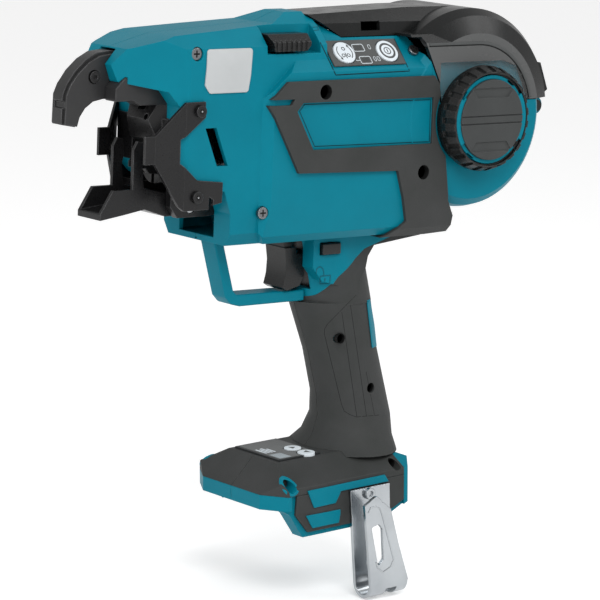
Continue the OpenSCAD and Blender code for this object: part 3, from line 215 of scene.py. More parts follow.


# where given, the seventh value is the paler edge tone: partly wear, partly a painted highlight
MATERIALS = {
    "teal": surface("teal", srgb(0, 118, 137), srgb(0, 113, 132), 0.42, 2600, 0.22, srgb(10, 136, 156),
                    spec=0.1),
    # darker teal: painted shade inside the moulded marks
    "teal_groove_shade": surface("teal_groove_shade", srgb(0, 96, 112), srgb(0, 90, 106), 0.45, 2600, 0.2),
    "rubber": surface("rubber", srgb(60, 61, 61), srgb(52, 54, 53), 0.6, 1900, 0.5, srgb(78, 80, 79)),
    "black": surface("black", srgb(16, 17, 17), srgb(22, 23, 23), 0.26, 2400, 0.15, srgb(62, 63, 63),
                     spec=0.35),
    "oxide": surface("oxide", srgb(23, 23, 24), srgb(18, 18, 19), 0.32, 1500, 0.22, srgb(120, 120, 122),
                     0.0005, spec=0.3),
    "guide": surface("guide", srgb(47, 47, 47), srgb(40, 40, 41), 0.36, 1500, 0.25, srgb(125, 125, 127),
                     0.0006, spec=0.3),
    "steel": surface("steel", srgb(176, 178, 180), srgb(160, 162, 165), 0.3, 900, 0.1, metal=1.0,
                     spec=0.5, streak=(1, 12, 1)),
    "screw": surface("screw", srgb(132, 134, 136), srgb(112, 114, 117), 0.34, 900, 0.12,
                     srgb(190, 192, 194), metal=1.0, spec=0.5),
    "plated": surface("plated", srgb(180, 184, 187), srgb(160, 164, 168), 0.22, 700, 0.06, metal=1.0,
                      spec=0.5, spread=0.05, streak=(9, 9, 0.6)),
    "cap": surface("cap", srgb(64, 66, 66), srgb(58, 60, 60), 0.5, 2200, 0.3, srgb(84, 86, 86)),
    "panel": surface("panel", srgb(80, 82, 82), srgb(74, 76, 76), 0.5, 3000, 0.08),
    "dark_panel": surface("dark_panel", srgb(46, 48, 49), srgb(42, 44, 45), 0.4, 3000, 0.08),
    "white": surface("white", srgb(216, 224, 229), srgb(208, 216, 222), 0.45, 2600, 0.08),
    "label": surface("label", srgb(186, 189, 190), srgb(178, 181, 182), 0.5, 900, 0.06),
    "field": surface("field", srgb(102, 104, 104), srgb(96, 98, 98), 0.5, 3000, 0.08),
    # dark teal: painted shade of the gap round the control panel and of the groove in the bumper window
    "line": surface("line", srgb(8, 40, 46), srgb(6, 34, 40), 0.6, 2000, 0.1),
    # near black, painted shade: screw recesses, hole sleeves, grip grooves, the gap between the halves and
    # the line below the cover bead
    "seam": surface("seam", srgb(22, 23, 23), srgb(18, 19, 19), 0.7, 2000, 0.1),
    "lens": surface("lens", srgb(225, 232, 236), srgb(214, 222, 228), 0.2, 1200, 0.05, coat=0.6),
    "winding": surface("winding", srgb(150, 88, 48), srgb(120, 66, 34), 0.4, 900, 0.4, metal=0.6,
                       streak=(20, 1, 1)),
    "board": surface("board", srgb(30, 84, 48), srgb(24, 70, 40), 0.4, 900, 0.2),
    "screen": surface("screen", srgb(150, 160, 165), srgb(138, 148, 154), 0.3, 2600, 0.05),
}

# the cover's clear window, in metres: each edge fades in over a pair, along the case wall behind it
SIDE_EDGE, FLAT_EDGE = (-0.0275, -0.0285), (0.94, 0.97)
WALL_TOP, WALL_FRONT = (0.2187, 0.2185), (0.0576, 0.0579)
LEAN_RATE, LEAN_EDGE = 0.316, (0.2500, 0.2498)
STEEP_RATE, STEEP_EDGE = 2.0, (0.4352, 0.4346)
CLEAR_ALPHA = 0.17
SMOKE_ROUGH, SMOKE_SPEC, SMOKE_RELIEF = (0.2, 0.3), 0.28, 0.05
DEEP, PAINTED_LIGHT_GREY, CLEAR = srgb(22, 23, 23), srgb(84, 85, 85), srgb(138, 140, 140)


def smoked():
    # smoked plastic: deep on the crown and the right side; on the flat left side a paler grey, painted light
    # that stands in for the lit inside seen through the smoke;
    # and clear on its lower part, in front of the case wall
    m, t, p = new_material("smoked")
    at = t.nodes.new("ShaderNodeTexCoord").outputs["Object"]
    x, y, z = split_xyz(t, at)
    # the cover turns about Y, so this part of the face normal holds in every pose
    facing = split_xyz(t, t.nodes.new("ShaderNodeNewGeometry").outputs["True Normal"])["Y"]
    flat = remap(t, calc(t, "ABSOLUTE", facing), *FLAT_EDGE)
    side = calc(t, "MULTIPLY", remap(t, y, *SIDE_EDGE), flat)
    lean = calc(t, "ADD", z, calc(t, "MULTIPLY", x, LEAN_RATE))
    steep = calc(t, "ADD", z, calc(t, "MULTIPLY", x, STEEP_RATE))
    clear = side
    for value, edge in ((z, WALL_TOP), (x, WALL_FRONT), (steep, STEEP_EDGE), (lean, LEAN_EDGE)):
        clear = calc(t, "MULTIPLY", clear, remap(t, value, *edge))
    # the left side's paler grey is painted light of the lit inside seen through the smoke
    tone = mix_color(t, side, DEEP, PAINTED_LIGHT_GREY)
    t.links.new(mix_color(t, clear, tone, CLEAR), p.inputs["Base Color"])
    t.links.new(remap(t, clear, 0.0, 1.0, 1.0, CLEAR_ALPHA), p.inputs["Alpha"])
    fine = noise(t, at, SMOKE_SCALE)
    t.links.new(remap(t, fine, *FINE_RANGE, *SMOKE_ROUGH), p.inputs["Roughness"])
    p.inputs["Specular IOR Level"].default_value = SMOKE_SPEC
    add_bump(t, p, fine, SMOKE_RELIEF, SMOKE_DEPTH)
    return m


MATERIALS["smoked"] = smoked()

# which material each CAD node wears: by its slot, or by its own name
SLOT_MATERIAL = {
    "teal": "teal", "rubber_grey": "rubber", "black_plastic": "black", "black_metal": "oxide",
    "steel": "steel", "plated_steel": "plated", "smoked_plastic": "smoked", "cap_grey": "cap",
    "panel_grey": "panel", "white_plastic": "white", "label_white": "label", "lens": "lens",
    "winding": "winding", "alloy": "steel", "board": "board"}
NODE_MATERIAL = {
    "curl_guide": "guide", "curl_plates": "guide", "guide_bracket": "guide",
    "display_panel": "dark_panel", "housing_screws": "screw", "twister_head": "oxide"}

# width of the rounded edges in mm; the other nodes keep crisp edges
ROUNDED = {
    "trigger_guard": 0.9, "trigger": 1.2, "lock_button": 0.6, "lamp_lens": 0.4,
    "grip_left": 0.4, "grip_right": 0.4, "foot_cover_left": 0.8, "foot_cover_right": 0.8,
    "foot_plates": 0.25, "foot_skins": 0.25, "stopper_cap": 0.3, "stopper_ring": 0.2,
    "release_lever": 0.4, "curl_guide": 0.5, "curl_plates": 0.6, "guide_bracket": 0.6,
    "nose_block": 0.8, "contact_plates": 0.25, "lower_guide": 0.4, "jaw_bracket": 0.4,
    "belt_hook": 0.25, "hook_screw": 0.2, "housing_screws": 0.2, "jaw_screws": 0.25,
    "side_label": 0.1, "control_panel": 0.1, "display_panel": 0.15, "mode_button": 0.25,
    "power_button": 0.25, "up_button": 0.25, "down_button": 0.25}
WELD_GAP = 0.00001
FLAT_ANGLE, ROUND_ANGLE, CRISP_ANGLE = math.radians(0.6), math.radians(28), math.radians(14)


def soften(ob, width):
    # closes the mesh, then rounds its sharp edges or splits them
    ob.modifiers.new("weld", "WELD").merge_threshold = WELD_GAP
    for f in ob.data.polygons:
        f.use_smooth = True
    if not width:
        split = ob.modifiers.new("crisp", "EDGE_SPLIT")
        split.use_edge_sharp = False
        split.split_angle = CRISP_ANGLE
        return
    join = ob.modifiers.new("flat", "DECIMATE")
    join.decimate_type = "DISSOLVE"
    join.angle_limit = FLAT_ANGLE
    bevel = ob.modifiers.new("round", "BEVEL")
    bevel.width = width / 1000
    bevel.segments = 2
    bevel.limit_method = "ANGLE"
    bevel.angle_limit = ROUND_ANGLE
    bevel.use_clamp_overlap = True
    bevel.harden_normals = False
    bevel.miter_outer = "MITER_ARC"
    ob.modifiers.new("even", "WEIGHTED_NORMAL").keep_sharp = True


for name, ob in NODES.items():
    ob.data.materials.clear()
    ob.data.materials.append(MATERIALS[NODE_MATERIAL.get(name, SLOT_MATERIAL[SLOT_OF[name]])])
    soften(ob, ROUNDED.get(name, 0))

# rays on the CAD nodes: steps in pixels, jumps in metres
STEP, FINE_STEP = 2.0, 1.0
LINE_JUMP, SPLIT_JUMP = 0.006, 0.005
TREES = {}
bpy.context.view_layer.update()


def tree(name):
    if name not in TREES:
        ob = NODES[name]
        TREES[name] = BVHTree.FromPolygons([ob.matrix_world @ v.co for v in ob.data.vertices],
                                           [tuple(f.vertices) for f in ob.data.polygons])
    return TREES[name]


def hit(origin, d, nodes):
    # nearest surface of the named nodes along a ray, with its outward normal
    best = None
    for n in nodes:
        at, normal, _, far = tree(n).ray_cast(origin, d)
        if at is not None and (best is None or far < best[2]):
            best = (at, -normal if normal.dot(d) > 0 else normal, far)
    return best


def pixel(px, py):
    mid = PICTURE / 2
    return ((RIGHT * (px - mid) - UP * (py - mid)) / FOCAL + DIR).normalized()


def at_plane(px, py, plane):
    point, normal = plane
    d = pixel(px, py)
    return EYE + d * ((point - EYE).dot(normal) / d.dot(normal))


def unbroken(marks, jump):
    # cuts a row of (point, normal) or None into runs where the surface ends or jumps
    runs, run = [], []
    for m in marks:
        if m is None or (run and (m[0] - run[-1][0]).length > jump):
            runs.append(run)
            run = []
        if m:
            run.append(m)
    return [r for r in runs + [run] if len(r) > 1]


def trace(points, nodes, step=STEP, closed=False):
    # lays a line of photograph pixels on the nodes
    ends = list(points) + ([points[0]] if closed else [])
    marks = []
    for (x0, y0), (x1, y1) in zip(ends, ends[1:]):
        k = max(1, int(math.hypot(x1 - x0, y1 - y0) / step))
        marks += [(x0 + (x1 - x0) * i / k, y0 + (y1 - y0) * i / k) for i in range(k)]
    if not closed:
        marks.append(ends[-1])
    found = [hit(EYE, pixel(*m), nodes) for m in marks]
    return unbroken([h and h[:2] for h in found], LINE_JUMP)


# points on the part: millimetres in, metres out
LEFT, DOWN, AHEAD = Vector((0, -1, 0)), Vector((0, 0, -1)), Vector((-1, 0, 0))


def mm(x, y, z):
    return Vector((x, y, z)) / 1000


def flip(v):
    return Vector((v.x, -v.y, v.z))


def axes(normal):
    side = Vector((1, 0, 0)) if abs(normal.x) < 0.8 else Vector((0, 0, 1))
    up = normal.cross(side).normalized()
    return up.cross(normal).normalized(), up


def spot(centre, normal, x, y):
    e, u = axes(normal)
    return centre + (e * x + u * y) / 1000


def arc(centre, normal, r, a0=0.0, a1=360.0, n=36):
    # points on a circle, first axis along the body
    e, u = axes(normal)
    full = abs(a1 - a0) >= 360
    out = []
    for i in range(n if full else n + 1):
        a = math.radians(a0 + (a1 - a0) * i / n)
        out.append(centre + (e * math.cos(a) + u * math.sin(a)) * r / 1000)
    return out


def rounded(centre, normal, w, h, r, k=5):
    # rectangle with round corners
    out = []
    for sx, sy, a0 in ((1, 1, 0), (-1, 1, 90), (-1, -1, 180), (1, -1, 270)):
        for i in range(k + 1):
            a = math.radians(a0 + 90 * i / k)
            x, y = sx * (w / 2 - r) + r * math.cos(a), sy * (h / 2 - r) + r * math.sin(a)
            out.append(spot(centre, normal, x, y))
    return out


def on(points, normal):
    return [(p, normal) for p in points]


# makers of detail pieces: widths and heights in mm; with both, the right-hand copy is in the same piece
CROSS_SHARE, CROSS_RISE = 0.24, 0.04


def piece(name, verts, faces, mat, body):
    me = bpy.data.meshes.new(name)
    me.from_pydata([tuple(v) for v in verts], [], faces)
    bm = bmesh.new()
    bm.from_mesh(me)
    bmesh.ops.recalc_face_normals(bm, faces=bm.faces)
    for f in bm.faces:
        f.smooth = False
    bm.to_mesh(me)
    bm.free()
    me.materials.append(MATERIALS[mat])
    ob = bpy.data.objects.new(name, me)
    scene.collection.objects.link(ob)
    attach(ob, body)
    return ob


def hands(both):
    return (1, -1) if both else (1,)


def handed(points, hand):
    return points if hand > 0 else [flip(v) for v in points]


def ribbon(name, runs, width, mat, body, slot, lift=0.06, sink=0.2, closed=False, both=False):
    # thin strips laid along a surface; a run is a list of (point, normal)
    verts, faces = [], []
    for hand in hands(both):
        for path in runs:
            k, base = len(path), len(verts)
            for i, (p, n) in enumerate(path):
                a = path[i - 1][0] if closed or i else p
                b = path[(i + 1) % k][0] if closed or i < k - 1 else p
                side = n.cross(b - a).normalized() * width / 2000
                over, under = n * lift / 1000, n * sink / 1000
                verts += handed([p + side + over, p - side + over, p - side - under, p + side - under], hand)
            for i in range(k if closed else k - 1):
                q, r = base + 4 * i, base + 4 * ((i + 1) % k)
                faces += [(q + j, q + (j + 1) % 4, r + (j + 1) % 4, r + j) for j in range(4)]
            if not closed:
                q = base + 4 * (k - 1)
                faces += [(base, base + 1, base + 2, base + 3), (q + 3, q + 2, q + 1, q)]
    return piece(name, verts, faces, mat, body)


def prisms(name, outlines, normals, mat, body, slot, lo=-0.2, hi=0.06, both=False):
    # flat shapes with a little thickness; one normal for all of them, or a list
    if isinstance(normals, Vector):
        normals = [normals] * len(outlines)
    verts, faces = [], []
    for hand in hands(both):
        for pts, n in zip(outlines, normals):
            k, base = len(pts), len(verts)
            verts += handed([p + n * hi / 1000 for p in pts] + [p + n * lo / 1000 for p in pts], hand)
            faces += [tuple(range(base, base + k)), tuple(range(base + 2 * k - 1, base + k - 1, -1))]
            faces += [(base + i, base + (i + 1) % k, base + k + (i + 1) % k, base + k + i) for i in range(k)]
    return piece(name, verts, faces, mat, body)


def cross_marks(name, places, size, both=False):
    # dark crosses on cross head screws, painted shade standing in for their driver recesses; a place is
    # (centre, normal)
    w = size * CROSS_SHARE
    half = ((-size, -w), (-w, -w), (-w, -size), (w, -size), (w, -w), (size, -w))
    shape = half + tuple((-x, -y) for x, y in half)
    outlines = [[spot(c, n, x, y) for x, y in shape] for c, n in places]
    normals = [n for _, n in places]
    return prisms(name, outlines, normals, "seam", "frame", "black_metal", hi=CROSS_RISE, both=both)


# the sloping left shoulder and the tilted foot
SLOPE_TOP_Y, SLOPE_TOP_Z = 10, 240
SLOPE_RUN, SLOPE_DROP = 21.5, 23.6
PANEL_SHARE, PANEL_PROUD = 0.7, 0.3
SLOPE_ANGLE = math.atan2(SLOPE_DROP, SLOPE_RUN)
SLOPE = Vector((0, -math.sin(SLOPE_ANGLE), math.cos(SLOPE_ANGLE)))
FOOT_TILT = math.radians(3)
FOOT_UP = Vector((-math.sin(FOOT_TILT), 0, math.cos(FOOT_TILT)))


def shoulder(x, rise):
    y = -SLOPE_TOP_Y - PANEL_SHARE * SLOPE_RUN
    z = SLOPE_TOP_Z - PANEL_SHARE * SLOPE_DROP + PANEL_PROUD
    return mm(x, y, z) + SLOPE * rise / 1000


def foot(x, y, z):
    c, q = math.cos(FOOT_TILT), math.sin(FOOT_TILT)
    return mm(x * c - z * q, y, x * q + z * c)


# marks on the two round keys: radii, half lengths, line widths and places in mm, spans in degrees
KEY_RISE = 1.5
POWER_X, POWER_RING, POWER_CIRCLE, POWER_BAR = 28, 4.1, 1.9, 1.1
POWER_RING_LINE, POWER_LINE, POWER_BAR_LIFT = 1.1, 0.5, 0.07
MODE_X, MODE_ARC, MODE_LOOP = 1, 4.5, 0.9
MODE_ARC_LINE, MODE_LOOP_LINE = 0.45, 0.4
MODE_ARC_SPANS = ((130, 225), (-50, 45))
MODE_STEM = ((0, -0.4), (0, -3.6))
MODE_LOOPS = ((0, 2.1), (-1.6, -1.9), (1.6, -1.9))
MODE_HEAD = ((-4.2, -3.5), (-2.6, -3.1), (-3.1, -4.7))


def power_key():
    top = shoulder(POWER_X, KEY_RISE)
    wear = ("panel", "power_key", "panel_grey")
    ring, circle = arc(top, SLOPE, POWER_RING, n=48), arc(top, SLOPE, POWER_CIRCLE)
    bar = [spot(top, SLOPE, 0, y) for y in (-POWER_BAR, POWER_BAR)]
    ribbon("power_key_ring", [on(ring, SLOPE)], POWER_RING_LINE, *wear, closed=True)
    ribbon("power_key_circle", [on(circle, SLOPE)], POWER_LINE, *wear, closed=True)
    ribbon("power_key_bar", [on(bar, SLOPE)], POWER_LINE, *wear, lift=POWER_BAR_LIFT)


def mode_key():
    top = shoulder(MODE_X, KEY_RISE)
    wear = ("panel", "mode_key", "panel_grey")
    runs = [on(arc(top, SLOPE, MODE_ARC, a0, a1, n=12), SLOPE) for a0, a1 in MODE_ARC_SPANS]
    runs.append(on([spot(top, SLOPE, x, y) for x, y in MODE_STEM], SLOPE))
    ribbon("mode_key_arcs", runs, MODE_ARC_LINE, *wear)
    loops = [on(arc(spot(top, SLOPE, x, y), SLOPE, MODE_LOOP, n=18), SLOPE) for x, y in MODE_LOOPS]
    ribbon("mode_key_loops", loops, MODE_LOOP_LINE, *wear, closed=True)
    heads = [[spot(top, SLOPE, x * q, y * q) for x, y in MODE_HEAD] for q in (1, -1)]
    prisms("mode_key_heads", heads, SLOPE, *wear)


power_key()
mode_key()

# printed windows, loops and links of the control panel, placed by pixels of the photograph
PANEL_X, PANEL_RISE = 14, 0.92
WINDOW_PIXELS = ((358.1, 47.8), (365.8, 59.9))
WINDOW_SIZE, WINDOW_LINE = (6.8, 4.2, 0.9), 0.4
HATCH_HALF, HATCH_ROWS = 2.2, (-1.0, -0.5, 0, 0.5, 1.0)
HATCH_LINE, HATCH_LIFT = 0.18, 0.05
LOOP_PIXELS = ((369.0, 46.8), (375.0, 58.8), (378.6, 58.6))
LOOP_SIZE, LOOP_LINE = (1.3, 2.6, 0.6), 0.3
LINK_PIXELS = (((352.7, 48.9), (353.3, 48.3)), ((355.8, 59.8), (356.9, 60.6), (360.2, 60.3)))
PANEL_SEAM_PIXELS = ((320.3, 42.4), (335.8, 75.0), (409.6, 71.0), (394.0, 38.6))
LINK_LINE, PANEL_SEAM_LINE = 0.35, 0.5


def control_panel():
    plane = (shoulder(PANEL_X, PANEL_RISE), SLOPE)
    ink = ("white", "frame", "white_plastic")
    middles = [at_plane(*p, plane) for p in WINDOW_PIXELS]
    windows = [on(rounded(c, SLOPE, *WINDOW_SIZE), SLOPE) for c in middles]
    ribbon("panel_windows", windows, WINDOW_LINE, *ink, closed=True)
    hatch = [on([spot(c, SLOPE, x, y) for x in (-HATCH_HALF, HATCH_HALF)], SLOPE)
             for c in middles for y in HATCH_ROWS]
    ribbon("panel_hatch", hatch, HATCH_LINE, "cap", "frame", "panel_grey", lift=HATCH_LIFT)
    loops = [on(rounded(at_plane(*p, plane), SLOPE, *LOOP_SIZE), SLOPE) for p in LOOP_PIXELS]
    ribbon("panel_loops", loops, LOOP_LINE, *ink, closed=True)
    links = [on([at_plane(*p, plane) for p in run], SLOPE) for run in LINK_PIXELS]
    ribbon("panel_links", links, LINK_LINE, *ink)
    # the line round the panel is painted shade of its gap in the shell
    seam = trace(PANEL_SEAM_PIXELS, ["housing_left"])
    ribbon("panel_seam", seam, PANEL_SEAM_LINE, "line", "frame", "teal")


control_panel()

# seam in the bumper window, release mark and padlock mark on the shell; the seam is a dark line and the
# marks a darker teal, both painted shade of their grooves
BADGE_SEAM_PIXELS = ((299.6, 111.4), (304.6, 104.6), (430.6, 99.7), (429.2, 141.6), (314.6, 146.4))
RELEASE_PIXELS = ((312.6, 27.4), (317.8, 26.8), (318.4, 30.0), (313.4, 30.5))
SHACKLE_PIXELS = ((316.0, 274.0), (316.3, 270.0), (318.0, 267.2), (320.6, 266.8), (322.8, 268.6),
                  (323.6, 271.6), (323.6, 275.6))
LOCK_CASE_PIXELS = ((320.2, 276.2), (330.4, 275.2), (329.6, 283.2), (319.9, 284.0))
LOCK_KEY_PIXELS = ((324.9, 278.2), (324.7, 281.4))
BADGE_SEAM_LINE, RELEASE_LINE, LOCK_LINE, LOCK_KEY_LINE = 0.35, 0.45, 0.5, 0.6
MARK_LIFT = 0.15
MARKS = (("release_mark", RELEASE_PIXELS, "housing_left", RELEASE_LINE, False),
         ("lock_shackle", SHACKLE_PIXELS, "handle_core", LOCK_LINE, False),
         ("lock_case", LOCK_CASE_PIXELS, "handle_core", LOCK_LINE, True),
         ("lock_key", LOCK_KEY_PIXELS, "handle_core", LOCK_KEY_LINE, False))
# the line in the bumper window is painted shade of its groove
badge_runs = trace(BADGE_SEAM_PIXELS, ["housing_left", "reel_case"], closed=True)
ribbon("badge_seam", badge_runs, BADGE_SEAM_LINE, "line", "frame", "teal", closed=True, both=True)
for name, line, node, width, closed in MARKS:
    mark_runs = trace(line, [node], FINE_STEP, closed)
    # darker teal: painted shade of the mark's groove
    ribbon(name, mark_runs, width, "teal_groove_shade", "frame", "teal", lift=MARK_LIFT, closed=closed)

# bead round the flat sides of the cover: an arc about the reel and a straight line to the front
REEL_X, REEL_Z = 82, 190.5
COVER_SIDE_Y = -32.6
BEAD_R, BEAD_LINE, BEAD_LIFT = 37.3, 1.4, 0.3
BEAD_EDGE_R, BEAD_EDGE_LINE, BEAD_EDGE_LIFT = 36.3, 0.45, 0.1
BEAD_START, BEAD_STEPS = 13.5, 32
BEAD_FRONT_X = (76, 70, 64, 58, 52, 49.5)


def cover_rim(r):
    out = []
    for i in range(BEAD_STEPS + 1):
        a = math.radians(BEAD_START + (90 - BEAD_START) * i / BEAD_STEPS)
        out.append(mm(REEL_X + r * math.cos(a), COVER_SIDE_Y, REEL_Z + r * math.sin(a)))
    return on(out + [mm(x, COVER_SIDE_Y, REEL_Z + r) for x in BEAD_FRONT_X], LEFT)


ribbon("cover_bead", [cover_rim(BEAD_R)], BEAD_LINE, "panel", "cover", "smoked_plastic",
       lift=BEAD_LIFT, both=True)
# the thin dark line below the bead is painted shade of its step
ribbon("cover_edge", [cover_rim(BEAD_EDGE_R)], BEAD_EDGE_LINE, "seam", "cover", "smoked_plastic",
       lift=BEAD_EDGE_LIFT, both=True)

# driver recesses, drawn as painted shade: dark crosses, and dark hex sockets with a steel pin
CASE_SCREWS = (mm(-49, -30.6, 149), mm(-88, -25.6, 226.4))
SHOULDER_SCREW = shoulder(45, 1.85)
CASE_CROSS, SHOULDER_CROSS = 1.7, 1.6
PLATE_SCREWS = (mm(-87.3, -30.5, 199.6), mm(-87.8, -30.5, 158.6))
PLATE_SOCKET_R, PLATE_PIN_R, PLATE_PIN_RISE = 1.35, 0.45, 0.12
cross_marks("case_screw_recess_shade", [(c, LEFT) for c in CASE_SCREWS], CASE_CROSS, both=True)
cross_marks("shoulder_screw_recess_shade", [(SHOULDER_SCREW, SLOPE)], SHOULDER_CROSS)
prisms("plate_screw_socket_shade", [arc(c, LEFT, PLATE_SOCKET_R, n=6) for c in PLATE_SCREWS], LEFT, "seam",
       "frame", "black_metal", both=True)
prisms("plate_screw_pins", [arc(c, LEFT, PLATE_PIN_R, n=12) for c in PLATE_SCREWS], LEFT, "steel", "frame",
       "steel", hi=PLATE_PIN_RISE, both=True)

# sleeves of sunk screw holes, dark as painted shade inside the holes: outer end, inner end
BUMPER_HOLES = [(mm(x, -33.2, z), mm(x, -30.05, z)) for x, z in ((-15.3, 206.6), (48.8, 164.2))]
GRIP_HOLES = [(mm(14.2, -16.2, 79.9), mm(14.2, -13.8, 79.9)), (mm(34.5, -15.4, 53), mm(34.5, -13.8, 53))]
FOOT_HOLES = [(foot(38.6, -31, 14.4), foot(38.6, -25, 14.4))]
BUMPER_HOLE_R, SCREW_HOLE_R = 3.66, 2.56
SLEEVE_WALL, SLEEVE_SIDES = 0.12, 24


def shade_sleeves(name, places, r):
    verts, faces, k = [], [], SLEEVE_SIDES
    for hand in hands(True):
        for a, b in places:
            n, base = (a - b).normalized(), len(verts)
            for radius in (r, r - SLEEVE_WALL):
                for end in (a, b):
                    verts += handed(arc(end, n, radius, n=k), hand)
            for i in range(k):
                j = (i + 1) % k
                faces += [(base + i, base + j, base + k + j, base + k + i),
                          (base + 2 * k + i, base + 3 * k + i, base + 3 * k + j, base + 2 * k + j),
                          (base + i, base + 2 * k + i, base + 2 * k + j, base + j)]
            faces += [tuple(base + k + i for i in range(k)),
                      tuple(base + 3 * k + i for i in range(k - 1, -1, -1))]
    return piece(name, verts, faces, "seam", "frame")


shade_sleeves("bumper_well_shade", BUMPER_HOLES, BUMPER_HOLE_R)
shade_sleeves("grip_well_shade", GRIP_HOLES, SCREW_HOLE_R)
shade_sleeves("foot_well_shade", FOOT_HOLES, SCREW_HOLE_R)

# grip panel lines: the outline and three ribs, drawn dark as painted shade of their grooves
GRIP_PIXELS = (
    ((356.0, 295.2), (327.5, 324.0), (324.6, 329.0), (324.4, 334.0), (341.6, 404.5),
     (344.2, 411.0), (349.5, 414.5), (356.5, 417.0), (379.0, 415.0)),
    ((341.8, 312.0), (356.8, 416.6)), ((350.2, 303.2), (366.5, 416.2)), ((366.2, 372.0), (374.6, 415.4)))
GRIP_LINE, GRIP_LIFT = 0.22, 0.02
grip_runs = [run for line in GRIP_PIXELS for run in trace(line, ["grip_left"])]
ribbon("grip_lines", grip_runs, GRIP_LINE, "seam", "frame", "rubber_grey", lift=GRIP_LIFT, both=True)

# display on the foot, in the foot's own axes: screen, field, bars and triangles on the keys
DECK_Z, FOOT_KEY_X, FOOT_KEY_Z = 23.4, -3, 24
UP_KEY_Y, DOWN_KEY_Y = -15, -4
KEY_CLEARANCE_R, KEY_CUT = 4.9, -26.7
SCREEN_X, SCREEN_Y = (-20.5, -13.5), (-16.5, -7.5)
FIELD_X, FIELD_Y = (-21.3, 2.4), 17.2
BARS = ((-20, -4, 9), (-18.2, -4, 8), (-16.4, -4, 9.5), (-14.6, -4, 7))
BAR_WIDTH = 1.1
SCREEN_RISE, FIELD_RISE, BAR_RISE = 0.2, 0.12, 0.2
KEY_TIP, KEY_FOOT, KEY_SPAN = 1.6, 1.3, 2.1


def key_edge(y, q, a0, n=14):
    # half of the clearance round a foot key; q is the side of the key's middle
    out = []
    for i in range(n + 1):
        a = math.radians(a0 + (90 - a0) * i / n)
        out.append((FOOT_KEY_X + q * KEY_CLEARANCE_R * math.cos(a), y + KEY_CLEARANCE_R * math.sin(a)))
    return out


def box_outline(x0, x1, y0, y1):
    return ((x0, y0), (x1, y0), (x1, y1), (x0, y1))


def deck_shapes(name, outlines, mat, slot, hi):
    shapes = [[foot(x, y, DECK_Z) for x, y in outline] for outline in outlines]
    prisms(name, shapes, FOOT_UP, mat, "frame", slot, hi=hi)


def display():
    screen = box_outline(*SCREEN_X, *SCREEN_Y)
    deck_shapes("display_screen", [screen], "screen", "panel_grey", SCREEN_RISE)
    fields = []
    for q, x in zip((-1, 1), FIELD_X):
        keys = key_edge(UP_KEY_Y, q, KEY_CUT) + key_edge(DOWN_KEY_Y, q, -90)
        fields.append([(x, -FIELD_Y)] + keys + [(FOOT_KEY_X, FIELD_Y), (x, FIELD_Y)])
    deck_shapes("display_field", fields, "field", "panel_grey", FIELD_RISE)
    bars = [box_outline(x, x + BAR_WIDTH, y, y + w) for x, y, w in BARS]
    deck_shapes("display_bars", bars, "white", "white_plastic", BAR_RISE)
    for name, y, q in (("up", UP_KEY_Y, 1), ("down", DOWN_KEY_Y, -1)):
        corners = ((-KEY_TIP, 0), (KEY_FOOT, -KEY_SPAN), (KEY_FOOT, KEY_SPAN))
        mark = [foot(FOOT_KEY_X + dx * q, y + dy, FOOT_KEY_Z) for dx, dy in corners]
        prisms(name + "_key_mark", [mark], FOOT_UP, "panel", name + "_key", "panel_grey")


display()

# raised rim and sleeve of the foot's corner holes, following the facets of the foot cover
EYELET_X, EYELET_Z, EYELET_FLOOR_Y = -28.4, 13.9, -28.05
EYELET_BORE, EYELET_RIM, EYELET_SIDES = 2.9, 4.3, 40
EYELET_SINK, OUTER_RISE, INNER_RISE = 0.6, 0.25, 0.3
EYELET_WALL, EYELET_PROBE = 0.05, 0.25
EYELET_NODES = ["foot_cover_left", "foot_skins", "foot_base"]
FAR_LEFT, NO_HIT_Y = -60, -30


def evened(values, reach=3):
    # running mean round a closed ring
    k = len(values)
    return [sum(values[(i + j) % k] for j in range(-reach, reach + 1)) / (2 * reach + 1) for i in range(k)]


def eyelets():
    verts, faces, k = [], [], EYELET_SIDES
    turns = [(math.cos(2 * math.pi * i / k), math.sin(2 * math.pi * i / k)) for i in range(k)]

    def rim(r, c, q, y):
        return foot(EYELET_X + r * c, y, EYELET_Z + r * q)

    def depth(r):
        got = [hit(rim(r, c, q, FAR_LEFT), -LEFT, EYELET_NODES) for c, q in turns]
        return evened([h[0].y * 1000 if h else NO_HIT_Y for h in got])

    outer, inner = depth(EYELET_RIM), depth(EYELET_BORE + EYELET_PROBE)
    for hand in hands(True):
        base = len(verts)
        for (c, q), y1, y0 in zip(turns, outer, inner):
            ring = [rim(EYELET_RIM, c, q, y1 + EYELET_SINK), rim(EYELET_RIM, c, q, y1 - OUTER_RISE),
                    rim(EYELET_BORE, c, q, y0 - INNER_RISE), rim(EYELET_BORE, c, q, EYELET_FLOOR_Y),
                    rim(EYELET_BORE + EYELET_WALL, c, q, EYELET_FLOOR_Y)]
            verts += handed(ring, hand)
        for i in range(k):
            a, b = base + 5 * i, base + 5 * ((i + 1) % k)
            faces += [(a + j, b + j, b + j + 1, a + j + 1) for j in range(4)] + [(a + 4, b + 4, b, a)]
    return piece("corner_eyelets", verts, faces, "teal", "frame")


eyelets()

# rib pressed into the front strip of the hook
HOOK_RIB_PIXELS = ((376.1, 562.3), (377.6, 567.7), (383.0, 572.3), (390.6, 566.9), (393.7, 559.3),
                   (382.2, 514.9), (379.9, 508.7), (376.1, 506.4), (370.7, 508.0), (368.4, 513.3))
HOOK_RIB_STEP, HOOK_RIB_LINE, HOOK_RIB_LIFT = 1.5, 0.6, 0.25
hook_runs = trace(HOOK_RIB_PIXELS, ["belt_hook"], HOOK_RIB_STEP)
ribbon("hook_rib", hook_runs, HOOK_RIB_LINE, "plated", "frame", "plated_steel", lift=HOOK_RIB_LIFT)

